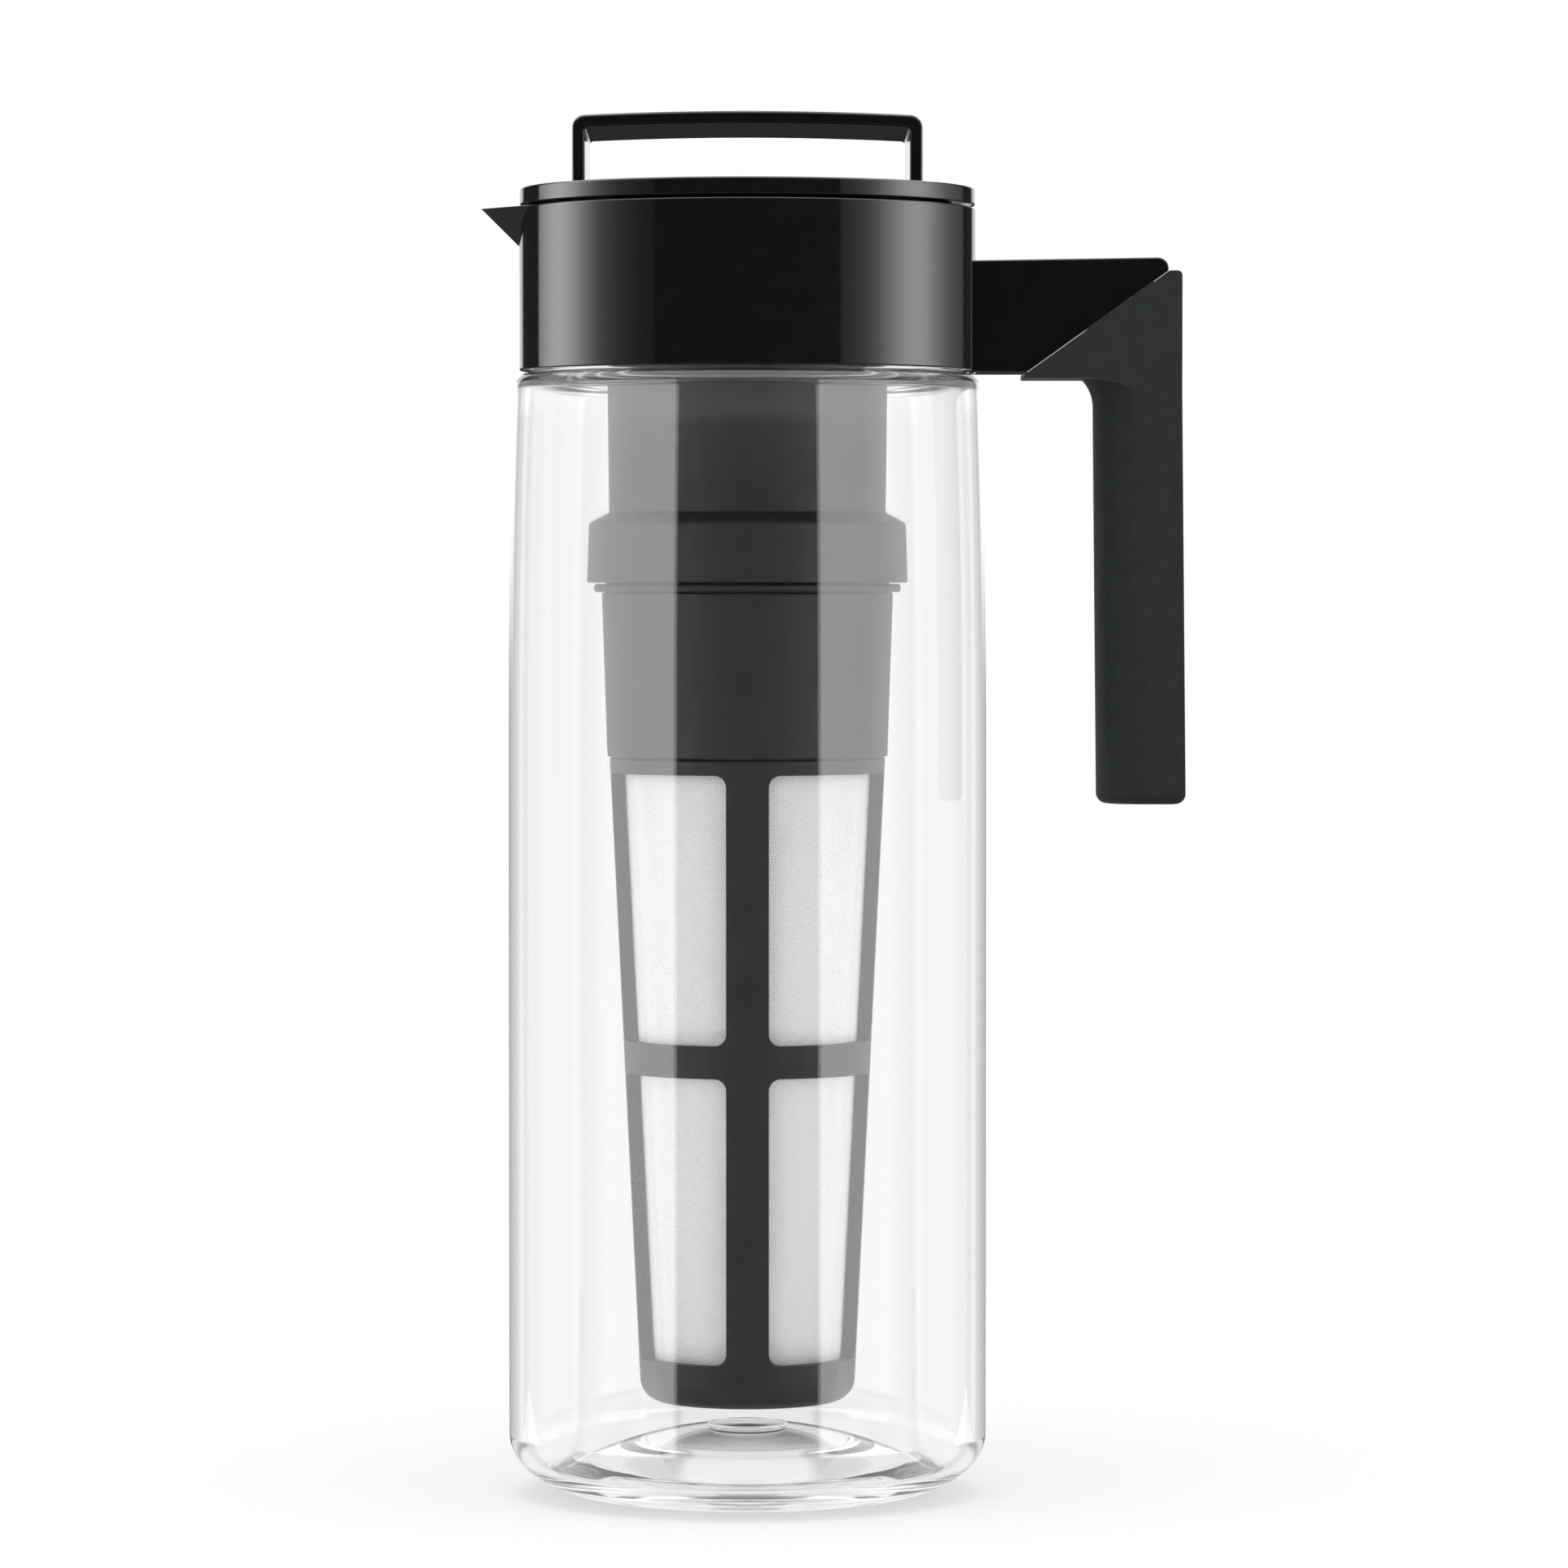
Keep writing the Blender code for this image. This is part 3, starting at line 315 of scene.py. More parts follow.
def chain(bm, points, closed):
    verts = [bm.verts.new(point) for point in points]
    edges = [bm.edges.new(pair) for pair in zip(verts, verts[1:])]
    if closed:
        edges.append(bm.edges.new((verts[-1], verts[0])))
    return verts + edges


def turned(line, closed, start=0.0, angle=360.0, steps=LATHE_STEPS):
    """A (radius, height) line turned about the axis, all the way round or through part of a turn."""
    across = math.cos(math.radians(start))
    along = math.sin(math.radians(start))
    bm = bmesh.new()
    bmesh.ops.spin(
        bm,
        geom=chain(bm, [(r * across, r * along, z) for r, z in line], closed),
        cent=(0, 0, 0),
        axis=(0, 0, 1),
        angle=math.radians(angle),
        steps=steps,
        use_merge=angle == 360.0,
    )
    return bm


def lathe(name, corners):
    """An outline of (radius, height) corners turned about the axis, left open if it starts on the axis."""
    outline = filleted(corners)
    return new_piece(name, turned(outline, outline[0][0] > 0))


def wedge(outline, middle, width):
    """A closed (radius, height) outline turned through part of a turn, with its two ends filled."""
    bm = turned(outline, True, middle - width / 2, width, max(2, round(width * LATHE_STEPS / 360)))
    bmesh.ops.holes_fill(bm, edges=bm.edges, sides=0)
    return new_piece("wedge", bm)


def block(inner, outer, bottom, top):
    """The outline of a plain ring or wedge."""
    return [(inner, bottom), (outer, bottom), (outer, top), (inner, top)]


def rounded_block(inner, outer, bottom, top, radius):
    """The outline of a ring with its four corners rounded."""
    return [(*corner, radius) for corner in block(inner, outer, bottom, top)]


def soften(bm, edges, radius, steps):
    """Rounds the edges of a bmesh that are given."""
    bmesh.ops.bevel(
        bm,
        geom=edges,
        offset=radius,
        segments=steps,
        profile=0.5,
        affect="EDGES",
        material=-1,
        clamp_overlap=True,
    )


def slab(name, corners, half_depth, edge=0.0):
    """An outline of (across, up) corners pulled out to both sides of the middle plane, with rounded rims."""
    bm = bmesh.new()
    face = bm.faces.new([bm.verts.new((x, -half_depth, z)) for x, z in filleted(corners)])
    pulled = bmesh.ops.extrude_face_region(bm, geom=[face])["geom"]
    moved = [item for item in pulled if isinstance(item, bmesh.types.BMVert)]
    bmesh.ops.translate(bm, verts=moved, vec=(0, 2 * half_depth, 0))
    if edge:
        soften(bm, [e for e in bm.edges if e.verts[0].co.y * e.verts[1].co.y > 0], edge, BEVEL_STEPS)
    return new_piece(name, bm)


def carve(piece, tool, operation="DIFFERENCE"):
    """Cuts a tool from a piece, or joins it on, and removes the tool."""
    modifier = piece.modifiers.new(operation.lower(), "BOOLEAN")
    modifier.operation = operation
    modifier.solver = "EXACT"
    modifier.object = tool
    graph = bpy.context.evaluated_depsgraph_get()
    graph.update()
    carved = bpy.data.meshes.new_from_object(piece.evaluated_get(graph))
    piece.modifiers.clear()
    piece.data = carved
    bpy.data.objects.remove(tool)


def join(piece, tool):
    carve(piece, tool, "UNION")


def paint(piece, slot):
    piece.data.materials.clear()
    piece.data.materials.append(FINISHES[slot])


def dress(piece, body, slot, node):
    """Smooth shading with crisp edges, a finish, and the frame's node that the piece stands for."""
    paint(piece, slot)
    piece.data.shade_smooth()
    piece.data.set_sharp_from_angle(angle=math.radians(SHARP_ANGLE))
    even = piece.modifiers.new("even_shading", "WEIGHTED_NORMAL")
    even.keep_sharp = True
    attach(piece, body)
    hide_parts(node)
    return piece


def make_ring(name, inner, edge, body, slot, node):
    """A ring with rounded corners between a bore and the outside of its node in the frame."""
    return dress(lathe(name, rounded_block(inner, *round_node(node), edge)), body, slot, node)


# Finishes


# The part of a noise's range that its values mostly lie in
SPREAD = (0.3, 0.7)

# Bands to a metre of a wave texture at a scale of 1
WAVE_BANDS = 10 / math.pi


def put(tree, socket, value):
    """Sets an input to a value, or links it to an output."""
    if isinstance(value, bpy.types.NodeSocket):
        tree.links.new(value, socket)
    else:
        socket.default_value = value


def fill(tree, node, sockets):
    """Sets or links a node's inputs, named as its sockets are with _ for a space."""
    for name, value in sockets.items():
        put(tree, node.inputs[name.replace("_", " ")], value)
    return node


def new_node(tree, kind, **sockets):
    return fill(tree, tree.nodes.new("ShaderNode" + kind), sockets)


class Maths:
    """Short ways to chain math nodes in a node tree."""

    def __init__(self, tree):
        self.tree = tree

    def __call__(self, operation, *values):
        node = self.tree.nodes.new("ShaderNodeMath")
        node.operation = operation
        for socket, value in zip(node.inputs, values):
            put(self.tree, socket, value)
        return node.outputs[0]

    def total(self, *values):
        return reduce(partial(self, "ADD"), values)

    def product(self, *values):
        return reduce(partial(self, "MULTIPLY"), values)

    def rise(self, value, middle, half):
        """A soft step from 0 to 1 about a middle."""
        step = new_node(self.tree, "MapRange", Value=value, From_Min=middle - half, From_Max=middle + half)
        step.interpolation_type = "SMOOTHSTEP"
        return step.outputs["Result"]

    def bell(self, value, middle, width):
        """A soft hump about a middle."""
        away = self("DIVIDE", self("SUBTRACT", value, middle), width)
        return self("EXPONENT", self("MULTIPLY", self("MULTIPLY", away, away), -1.0))

    def picked(self, condition, yes, no):
        """A blend of two values, wholly the first where the condition is 1."""
        return self("ADD", no, self("MULTIPLY", condition, self("SUBTRACT", yes, no)))

    def azimuth(self, vector, axis_x=0.0):
        """Degrees from the camera's side round to the handle, and the height, of a place or direction."""
        split = new_node(self.tree, "SeparateXYZ", Vector=vector).outputs
        across = self("SUBTRACT", split["X"], axis_x)
        turn = self("ARCTAN2", across, self("MULTIPLY", split["Y"], -1.0))
        return self("DEGREES", turn), split["Z"]

    def place(self):
        """Where a spot of a piece lies: across from the axis, deep, up, and how far from the axis."""
        spot = new_node(self.tree, "TexCoord").outputs["Object"]
        split = new_node(self.tree, "SeparateXYZ", Vector=spot).outputs
        across = self("SUBTRACT", split["X"], AXIS_X)
        away = self("SQRT", self.total(self("POWER", across, 2.0), self("POWER", split["Y"], 2.0)))
        return across, split["Y"], split["Z"], away

    def seen(self, painted_shade_zone, beyond):
        """The tone of what is seen through the jug: straight behind it, painted shade beside that, and
        further out.
        """
        return self.picked(beyond, SEEN_ASIDE, self.picked(painted_shade_zone, SEEN_PAINTED_SHADE, SEEN_STRAIGHT))

    def path(self):
        """The kind of a ray, and how often it was mirrored, scattered and let through."""
        return new_node(self.tree, "LightPath").outputs

    def none(self, count):
        """Whether a count of bounces is nil."""
        return self("LESS_THAN", count, 0.5)

    def some(self, count):
        """Whether a count of bounces is one or more."""
        return self("GREATER_THAN", count, 0.5)

    def mirrored(self, path):
        """Whether a ray came by way of a mirror reflection, with nothing matt on its way."""
        return self("MULTIPLY", self.some(path["Glossy Depth"]), self.none(path["Diffuse Depth"]))


def shade(material, **sockets):
    """Sets or links inputs of a material's shader."""
    tree = material.node_tree
    fill(tree, tree.nodes["Principled BSDF"], sockets)


def new_finish(name, **sockets):
    """A material with constant values set on its shader."""
    material = bpy.data.materials.new(name)
    material.use_nodes = True
    shade(material, **sockets)
    return material


def noise(material, size, detail=2.0, stretch=(1, 1, 1)):
    """Soft noise on the piece's own coordinates, with features of about that size."""
    tree = material.node_tree
    place = new_node(tree, "TexCoord").outputs["Object"]
    spot = new_node(tree, "Mapping", Vector=place, Scale=stretch).outputs["Vector"]
    return new_node(tree, "TexNoise", Vector=spot, Scale=1 / size, Detail=detail).outputs["Fac"]


def vary(material, factor, socket, low, high):
    """Lets a shader value wander between two bounds."""
    tree = material.node_tree
    start, end = SPREAD
    spread = new_node(tree, "MapRange", Value=factor, From_Min=start, From_Max=end, To_Min=low, To_Max=high)
    shade(material, **{socket: spread.outputs["Result"]})


def tint(material, factor, dark, light):
    """Lets the base colour wander between two tones."""
    ramp = new_node(material.node_tree, "ValToRGB", Fac=factor)
    for stop, position, tone in zip(ramp.color_ramp.elements, SPREAD, (dark, light)):
        stop.position = position
        stop.color = (*tone, 1)
    shade(material, Base_Color=ramp.outputs["Color"])


def emboss(material, height, depth, strength):
    """A fine surface texture of that depth."""
    bump = new_node(material.node_tree, "Bump", Height=height, Distance=depth, Strength=strength)
    shade(material, Normal=bump.outputs["Normal"])


def clear_plastic():
    """Polished and all but colourless, with floor and shoulder less even from the mould than the sides."""
    material = new_finish("clear_plastic", Transmission_Weight=1.0, IOR=1.5)
    tint(material, noise(material, 0.03), (0.980, 0.986, 0.986), (0.988, 0.993, 0.993))
    maths = Maths(material.node_tree)
    _, _, height, away = maths.place()
    beside_floor = maths.rise(away, FLOOR_EDGE, MOULD_BLEND)
    above_floor = maths.rise(height, CUP_BOTTOM, MOULD_BLEND)
    shoulder = maths.rise(height, JUG_HEIGHT - SHOULDER_DEPTH, SHOULDER_BLEND)
    sides = maths("SUBTRACT", maths("MAXIMUM", beside_floor, above_floor), shoulder)
    vary(material, sides, "Roughness", MOULD_ROUGHNESS, 0.0)
    return material


def gloss_black_plastic():
    material = new_finish("gloss_black_plastic", IOR=1.49)
    tint(material, noise(material, 0.004), (0.0046, 0.0046, 0.0048), (0.0060, 0.0060, 0.0062))
    vary(material, noise(material, 0.0015, stretch=(1, 1, 6)), "Roughness", 0.05, 0.10)
    return material


def soft_touch_rubber():
    sheen = {"Sheen_Weight": 0.10, "Sheen_Roughness": 0.4, "Sheen_Tint": (0.85, 1.0, 0.95, 1)}
    material = new_finish("soft_touch_rubber", IOR=1.45, **sheen)
    tint(material, noise(material, 0.003, 4.0), (0.0150, 0.0190, 0.0180), (0.0200, 0.0245, 0.0235))
    vary(material, noise(material, 0.0012), "Roughness", 0.50, 0.62)
    emboss(material, noise(material, 0.0003), 0.00002, 0.4)
    return material


def satin_grey_plastic():
    material = new_finish("satin_grey_plastic", IOR=1.40)
    tint(material, noise(material, 0.006, 3.0), (0.0190, 0.0190, 0.0196), (0.0240, 0.0240, 0.0246))
    vary(material, noise(material, 0.002, stretch=(1, 1, 0.2)), "Roughness", 0.46, 0.56)
    emboss(material, noise(material, 0.0004), 0.00001, 0.3)
    return material


def silicone_rubber():
    material = new_finish("silicone_rubber", IOR=1.41, Subsurface_Weight=0.1, Subsurface_Scale=0.002)
    tint(material, noise(material, 0.002), (0.52, 0.52, 0.51), (0.60, 0.60, 0.585))
    vary(material, noise(material, 0.001), "Roughness", 0.42, 0.56)
    return material


def plain_steel():
    material = new_finish("plain_steel", Metallic=1.0)
    tint(material, noise(material, 0.001), (0.50, 0.50, 0.51), (0.64, 0.64, 0.65))
    vary(material, noise(material, 0.0004, stretch=(0.1, 1, 1)), "Roughness", 0.24, 0.38)
    return material


def woven_mesh():
    """A pale twill: threads across and along, over which the weave's own slanting lines run."""
    material = new_finish("woven_mesh", IOR=1.5, Roughness=0.55)
    tree = material.node_tree
    place = new_node(tree, "TexCoord").outputs["UV"]

    def bands(pitch, turn):
        spot = new_node(tree, "Mapping", Vector=place, Rotation=(0, 0, math.radians(turn))).outputs["Vector"]
        return new_node(tree, "TexWave", Vector=spot, Scale=1 / (WAVE_BANDS * pitch)).outputs["Fac"]

    def blended(first, second, share):
        return new_node(tree, "Mix", Factor=share, A=first, B=second).outputs["Result"]

    threads = blended(bands(THREAD_PITCH, 0), bands(THREAD_PITCH, 90), 0.5)
    weave = blended(bands(TWILL_PITCH, TWILL_TURN), threads, 0.4)
    vary(material, weave, "Alpha", 0.28, 0.72)
    tint(material, weave, (0.80, 0.80, 0.79), (0.96, 0.96, 0.95))
    emboss(material, weave, 0.0001, 0.5)
    return material


FINISHES = {
    "clear": clear_plastic(),
    "gloss_black": gloss_black_plastic(),
    "soft_grey": soft_touch_rubber(),
    "satin_grey": satin_grey_plastic(),
    "silicone": silicone_rubber(),
    "steel": plain_steel(),
    "weave": woven_mesh(),
}


# Jug


def jug_radius(height):
    """The jug is straight up to where its taper starts, then draws in ever faster to the shoulder."""
    rise = max(0.0, height - (JUG_HEIGHT - TAPER_LENGTH))
    return JUG_RADIUS - SHOULDER_TAPER * (rise / TAPER_LENGTH) ** TAPER_POWER


def taper_heights(end):
    return spaced(JUG_HEIGHT - TAPER_LENGTH, end, TAPER_STEPS)


def heel_curve(wall, floor, across):
    """A quarter of an oval from the floor out to the side, set in by a wall and a floor."""
    start = JUG_RADIUS - wall - across
    up = HEEL_RISE - floor
    angles = turns(0, 90, HEEL_STEPS)
    return [(start + across * math.sin(a), HEEL_RISE - up * math.cos(a)) for a in angles]


def floor_height(radius):
    """The floor rises from the heel to the button in one shallow dome."""
    return FLOOR_LEVEL + KICK_HEIGHT * (1 - (radius / FLOOR_EDGE) ** 2)


def floor_curve(outer, inner, drop):
    return [(r, floor_height(r) - drop) for r in spaced(outer, inner, FLOOR_STEPS)]


def foot_curve(outer, top):
    """The rounded inner side of the ring that the jug stands on, from the underside down to its foot."""
    angles = turns(0, 90, FOOT_STEPS)
    return [(outer - FOOT_WIDTH * math.cos(a), top - top * math.sin(a)) for a in angles]


def button_curve():
    """The top of the button, dished towards its middle."""
    rim = BUTTON_RADIUS - 2 * BUTTON_ROUND
    angles = turns(0, 180, BUTTON_STEPS)
    dish = [(rim * (1 + math.cos(a)) / 2, BUTTON_DISH * (1 - math.cos(a)) / 2) for a in angles]
    return [(BUTTON_RADIUS, BUTTON_TOP, BUTTON_ROUND), *[(r, BUTTON_TOP - drop) for r, drop in dish]]


def make_jug():
    foot_outer = JUG_RADIUS - HEEL_ROUND
    foot_inner = foot_outer - FOOT_WIDTH
    foot_top = floor_height(foot_inner) - FLOOR_THICKNESS
    shoulder = jug_radius(JUG_HEIGHT)
    ceiling = JUG_HEIGHT - JUG_WALL
    outside = [
        (0, BUTTON_TOP - FLOOR_THICKNESS),
        (BUTTON_RADIUS, BUTTON_TOP - FLOOR_THICKNESS, BUTTON_ROUND),
        (BUTTON_RADIUS, floor_height(BUTTON_RADIUS) - FLOOR_THICKNESS, BUTTON_ROUND),
        *floor_curve(BUTTON_RADIUS + 2 * BUTTON_ROUND, foot_inner - 2 * FOOT_ROUND, FLOOR_THICKNESS),
        (foot_inner, foot_top, FOOT_ROUND),
        *foot_curve(foot_outer, foot_top)[1:-1],
        *heel_curve(0.0, 0.0, HEEL_ROUND),
        *[(jug_radius(z), z) for z in taper_heights(JUG_HEIGHT - 2 * SHOULDER_ROUND)],
        (shoulder, JUG_HEIGHT, SHOULDER_ROUND),
        (NECK_RADIUS, JUG_HEIGHT, MOULD_ROUND),
        (NECK_RADIUS, NECK_TOP, MOULD_ROUND),
    ]
    inside = [
        (NECK_INNER_RADIUS, NECK_TOP, MOULD_ROUND),
        (NECK_INNER_RADIUS, ceiling, NECK_INNER_ROUND),
        (shoulder - JUG_WALL, ceiling, SHOULDER_INNER_ROUND),
        *[(jug_radius(z) - JUG_WALL, z) for z in reversed(taper_heights(ceiling - 2 * SHOULDER_ROUND))],
        *reversed(heel_curve(JUG_WALL, FLOOR_LEVEL, HEEL_INNER_ROUND)),
        *floor_curve(FLOOR_EDGE, BUTTON_RADIUS + 2 * BUTTON_ROUND, 0.0)[1:],
        (BUTTON_RADIUS, floor_height(BUTTON_RADIUS), BUTTON_ROUND),
        *button_curve(),
    ]
    jug = lathe("jug_shell", outside + inside)
    return dress(jug, "jug", "clear", "jug_body")


# Collar and spout


def beak(back, tip_inset, top):
    """The V of the spout: a straight keel falls at 45 degrees from the tip, and both sides fall to it."""
    tip = SPOUT_REACH - tip_inset
    spread = SPOUT_HALF_WIDTH / (SPOUT_REACH - math.sqrt(COLLAR_RADIUS**2 - SPOUT_HALF_WIDTH**2))
    half_width = spread * (tip - back)
    bm = bmesh.new()
    centre = (SPOUT_TIP_ROUND - tip, 0)
    for x, y in arc(centre, SPOUT_TIP_ROUND, 180 - SPOUT_TIP_TURN, 180 + SPOUT_TIP_TURN):
        bm.verts.new((x, y, COLLAR_TOP))
        bm.verts.new((x, y, top))
    for side in (-half_width, half_width):
        bm.verts.new((-back, side, COLLAR_TOP))
        bm.verts.new((-back, side, top))
    bm.verts.new((-back, 0, COLLAR_TOP - (tip - back)))
    bmesh.ops.convex_hull(bm, input=bm.verts)
    return new_piece("beak", bm)


def make_collar():
    socket = NECK_RADIUS + CLEARANCE
    profile = [
        (socket, COLLAR_BOTTOM, EDGE_ROUND),
        (COLLAR_RADIUS, COLLAR_BOTTOM, EDGE_ROUND),
        (COLLAR_RADIUS, COLLAR_TOP, EDGE_ROUND),
        (BORE_RADIUS, COLLAR_TOP, EDGE_ROUND),
        (BORE_RADIUS, SOCKET_TOP),
        (socket, SOCKET_TOP),
    ]
    collar = lathe("collar_ring", profile)
    join(collar, beak((COLLAR_RADIUS + BORE_RADIUS) / 2, 0.0, COLLAR_TOP - HAIRLINE))
    carve(collar, beak(BORE_RADIUS - OVERLAP, SPOUT_WALL * math.sqrt(2), COLLAR_TOP + OVERLAP))
    ledge = block(BORE_RADIUS - LEDGE_DEPTH, BORE_RADIUS + OVERLAP, LEDGE_BOTTOM, LEDGE_TOP)
    for i in range(LUG_COUNT):
        join(collar, wedge(ledge, LUG_PITCH * (i + 0.5), LUG_PITCH - LUG_SLOT_ANGLE))
    return dress(collar, "jug", "gloss_black", "collar")


# Handle


def seam_height(across):
    """The slanting seam between arm and grip."""
    return ARM_BOTTOM + SEAM_SLOPE * (across - SEAM_START)


def grip_lean(height):
    return GRIP_LEAN * (GRIP_TOP - height) / (GRIP_TOP - GRIP_BOTTOM)


def grip_back(height):
    return HANDLE_REACH - GRIP_LEAN + grip_lean(height)


def spine_outline(grow):
    """The spine starts inside the arm, crosses the seam and runs down the middle of the grip."""
    back = ARM_END - SPINE_SETBACK
    front = back - SPINE_WIDTH
    foot = GRIP_BOTTOM + SPINE_END_GAP - grow
    lean = grip_lean(foot)
    root = front - SPINE_WIDTH / 2
    rise = SPINE_WIDTH / 4
    return [
        (root - grow, seam_height(root) + rise),
        (root - grow, seam_height(root) - grow),
        (front - grow, GRIP_TOP - grow),
        (front + lean - grow, foot),
        (back + lean + grow, foot),
        (back + grow, seam_height(back) + rise),
    ]


def make_arm():
    outline = [
        (NECK_RADIUS, ARM_BOTTOM),
        (SEAM_START, ARM_BOTTOM, EDGE_ROUND),
        (ARM_END, seam_height(ARM_END), EDGE_ROUND),
        (ARM_END, ARM_HIGH.z, ARM_END_ROUND),
        (NECK_RADIUS, ARM_BOTTOM + ARM_HEIGHT),
    ]
    arm = slab("handle_arm_shell", outline, ARM_HALF_DEPTH, ARM_EDGE)
    join(arm, slab("spine", spine_outline(0.0), SPINE_HALF_DEPTH))
    saddle = block(NECK_RADIUS / 2, COLLAR_RADIUS + HAIRLINE, ARM_BOTTOM - ARM_HEIGHT, LID_TOP)
    carve(arm, lathe("saddle", saddle))
    return dress(arm, "jug", "gloss_black", "handle_arm")


def grip_section(height, nose_shift, inset):
    """The grip is flat at the back with small corners, and a half ellipse towards the fingers."""
    back = grip_back(height) - inset
    nose = grip_back(height) - GRIP_WIDTH - nose_shift + inset
    half = GRIP_HALF_DEPTH - inset
    flat = grip_back(height) - GRIP_BACK_ROUND - GRIP_SIDE_FLAT
    corner = GRIP_BACK_ROUND
    points = arc((back - corner, half - corner), corner, 0, 90)
    for angle in turns(90, 270, GRIP_NOSE_STEPS):
        points.append((flat + (flat - nose) * math.cos(angle), half * math.sin(angle)))
    points += arc((back - corner, corner - half), corner, 270, 360)
    return [(x, y, height) for x, y in points]


def make_grip_column():
    """Rounded at its foot, and flared at its throat to meet the underside of the gusset."""
    sections = []
    for angle in turns(0, 90, GRIP_END_STEPS):
        inset = GRIP_END_ROUND * (1 - math.sin(angle))
        sections.append((GRIP_BOTTOM + GRIP_END_ROUND * (1 - math.cos(angle)), 0.0, inset))
    flare = math.radians(GRIP_THROAT_TURN)
    for angle in turns(0, GRIP_THROAT_TURN, GRIP_THROAT_STEPS):
        shift = GRIP_THROAT_ROUND * (1 - math.cos(angle))
        drop = GRIP_THROAT_ROUND * (1 - math.sin(angle) / math.sin(flare))
        sections.append((GRIP_TOP + OVERLAP - drop, shift, 0.0))
    bm = bmesh.new()
    loops = [chain(bm, grip_section(*section), True) for section in sections]
    rims = [[item for item in loop if isinstance(item, bmesh.types.BMEdge)] for loop in loops]
    for low, high in zip(rims, rims[1:]):
        bmesh.ops.bridge_loops(bm, edges=low + high)
    bmesh.ops.holes_fill(bm, edges=bm.edges, sides=0)
    return new_piece("grip_column", bm)


def gusset_outline():
    """The flat block under the seam, rounded at its top corner, its lower edge swept into the column."""
    lift = HAIRLINE * math.hypot(1, SEAM_SLOPE)
    back = grip_back(GRIP_TOP)
    top = seam_height(ARM_END)
    sweep = back - GRIP_BACK_ROUND - GRIP_SIDE_FLAT
    start = sweep - 2 * GRIP_THROAT_ROUND
    under = ARM_BOTTOM - HAIRLINE
    under_end = SEAM_START + (under + lift - ARM_BOTTOM) / SEAM_SLOPE
    swept = [
        (start + 2 * GRIP_THROAT_ROUND * math.sin(a), GRIP_TOP - GRIP_THROAT_ROUND * (1 - math.cos(a)))
        for a in turns(0, 90, GUSSET_STEPS)[1:]
    ]
    return [
        (SEAM_START - OVERLAP, GRIP_TOP, GRIP_EDGE),
        (start, GRIP_TOP),
        *swept,
        (back - HAIRLINE, GRIP_TOP - GRIP_THROAT_ROUND),
        (back - HAIRLINE, top, GUSSET_ROUND),
        (ARM_END + HAIRLINE, top, GRIP_EDGE),
        (ARM_END + HAIRLINE, seam_height(ARM_END + HAIRLINE) - lift),
        (under_end, under),
        (SEAM_START - OVERLAP, under, GRIP_EDGE),
    ]


def make_grip():
    grip = slab("handle_grip_sleeve", gusset_outline(), GRIP_HALF_DEPTH - HAIRLINE / 4, GRIP_EDGE)
    join(grip, make_grip_column())
    carve(grip, slab("cavity", spine_outline(HAIRLINE), SPINE_HALF_DEPTH + HAIRLINE))
    return dress(grip, "jug", "soft_grey", "handle_grip")


# Lid


def make_lid_disc():
    groove_inner = PLUG_RADIUS - PLUG_WALL - CLEARANCE
    groove_outer = PLUG_RADIUS + CLEARANCE
    groove_top = LID_BOTTOM + PLUG_TENON
    profile = [
        (0, LID_BOTTOM),
        (groove_inner, LID_BOTTOM),
        (groove_inner, groove_top),
        (groove_outer, groove_top),
        (groove_outer, LID_BOTTOM),
        (LID_RADIUS, LID_BOTTOM, EDGE_ROUND),
        (LID_RADIUS, LID_TOP, LID_EDGE_ROUND),
        (0, LID_TOP),
    ]
    disc = lathe("lid_disc", profile)
    for side in (-1, 1):
        inner = side * (STRAP_HALF_WIDTH - STRAP_THICKNESS - HAIRLINE)
        outer = side * (STRAP_HALF_WIDTH + HAIRLINE)
        slot = block(inner, outer, STRAP_LOW.z - HAIRLINE, LID_TOP + OVERLAP)
        carve(disc, slab("slot", slot, STRAP_HIGH.y + HAIRLINE))
    return dress(disc, "lid", "gloss_black", "lid_cap")


def strap_top(across, drop):
    crown = STRAP_CROWN * (across / STRAP_HALF_WIDTH) ** 2
    return STRAP_HIGH.z - crown - drop


def strap_line(inset, corner):
    """The strap's line from one foot over its crown to the other, set in from its outer face."""
    half = STRAP_HALF_WIDTH - inset
    crown = [half * (1 - 2 * i / STRAP_STEPS) for i in range(1, STRAP_STEPS)]
    return [
        (half, STRAP_LOW.z),
        (half, strap_top(half, inset), corner),
        *[(x, strap_top(x, inset)) for x in crown],
        (-half, strap_top(half, inset), corner),
        (-half, STRAP_LOW.z),
    ]


def make_strap():
    outline = strap_line(0.0, STRAP_ROUND) + strap_line(STRAP_THICKNESS, STRAP_INNER_ROUND)[::-1]
    strap = slab("lid_strap", outline, STRAP_HIGH.y, STRAP_EDGE)
    return dress(strap, "lid", "gloss_black", "lid_handle")


def lug(inner, reach, bottom, height):
    return block(inner - OVERLAP, inner + reach, bottom, bottom + height)


def cut_port(piece, inner, outer):
    """The way that tea takes through plug and sleeve to the spout."""
    port = block(inner - OVERLAP, outer + OVERLAP, PORT_TOP - PORT_HEIGHT, PORT_TOP)
    carve(piece, wedge(port, 180, PORT_ANGLE))


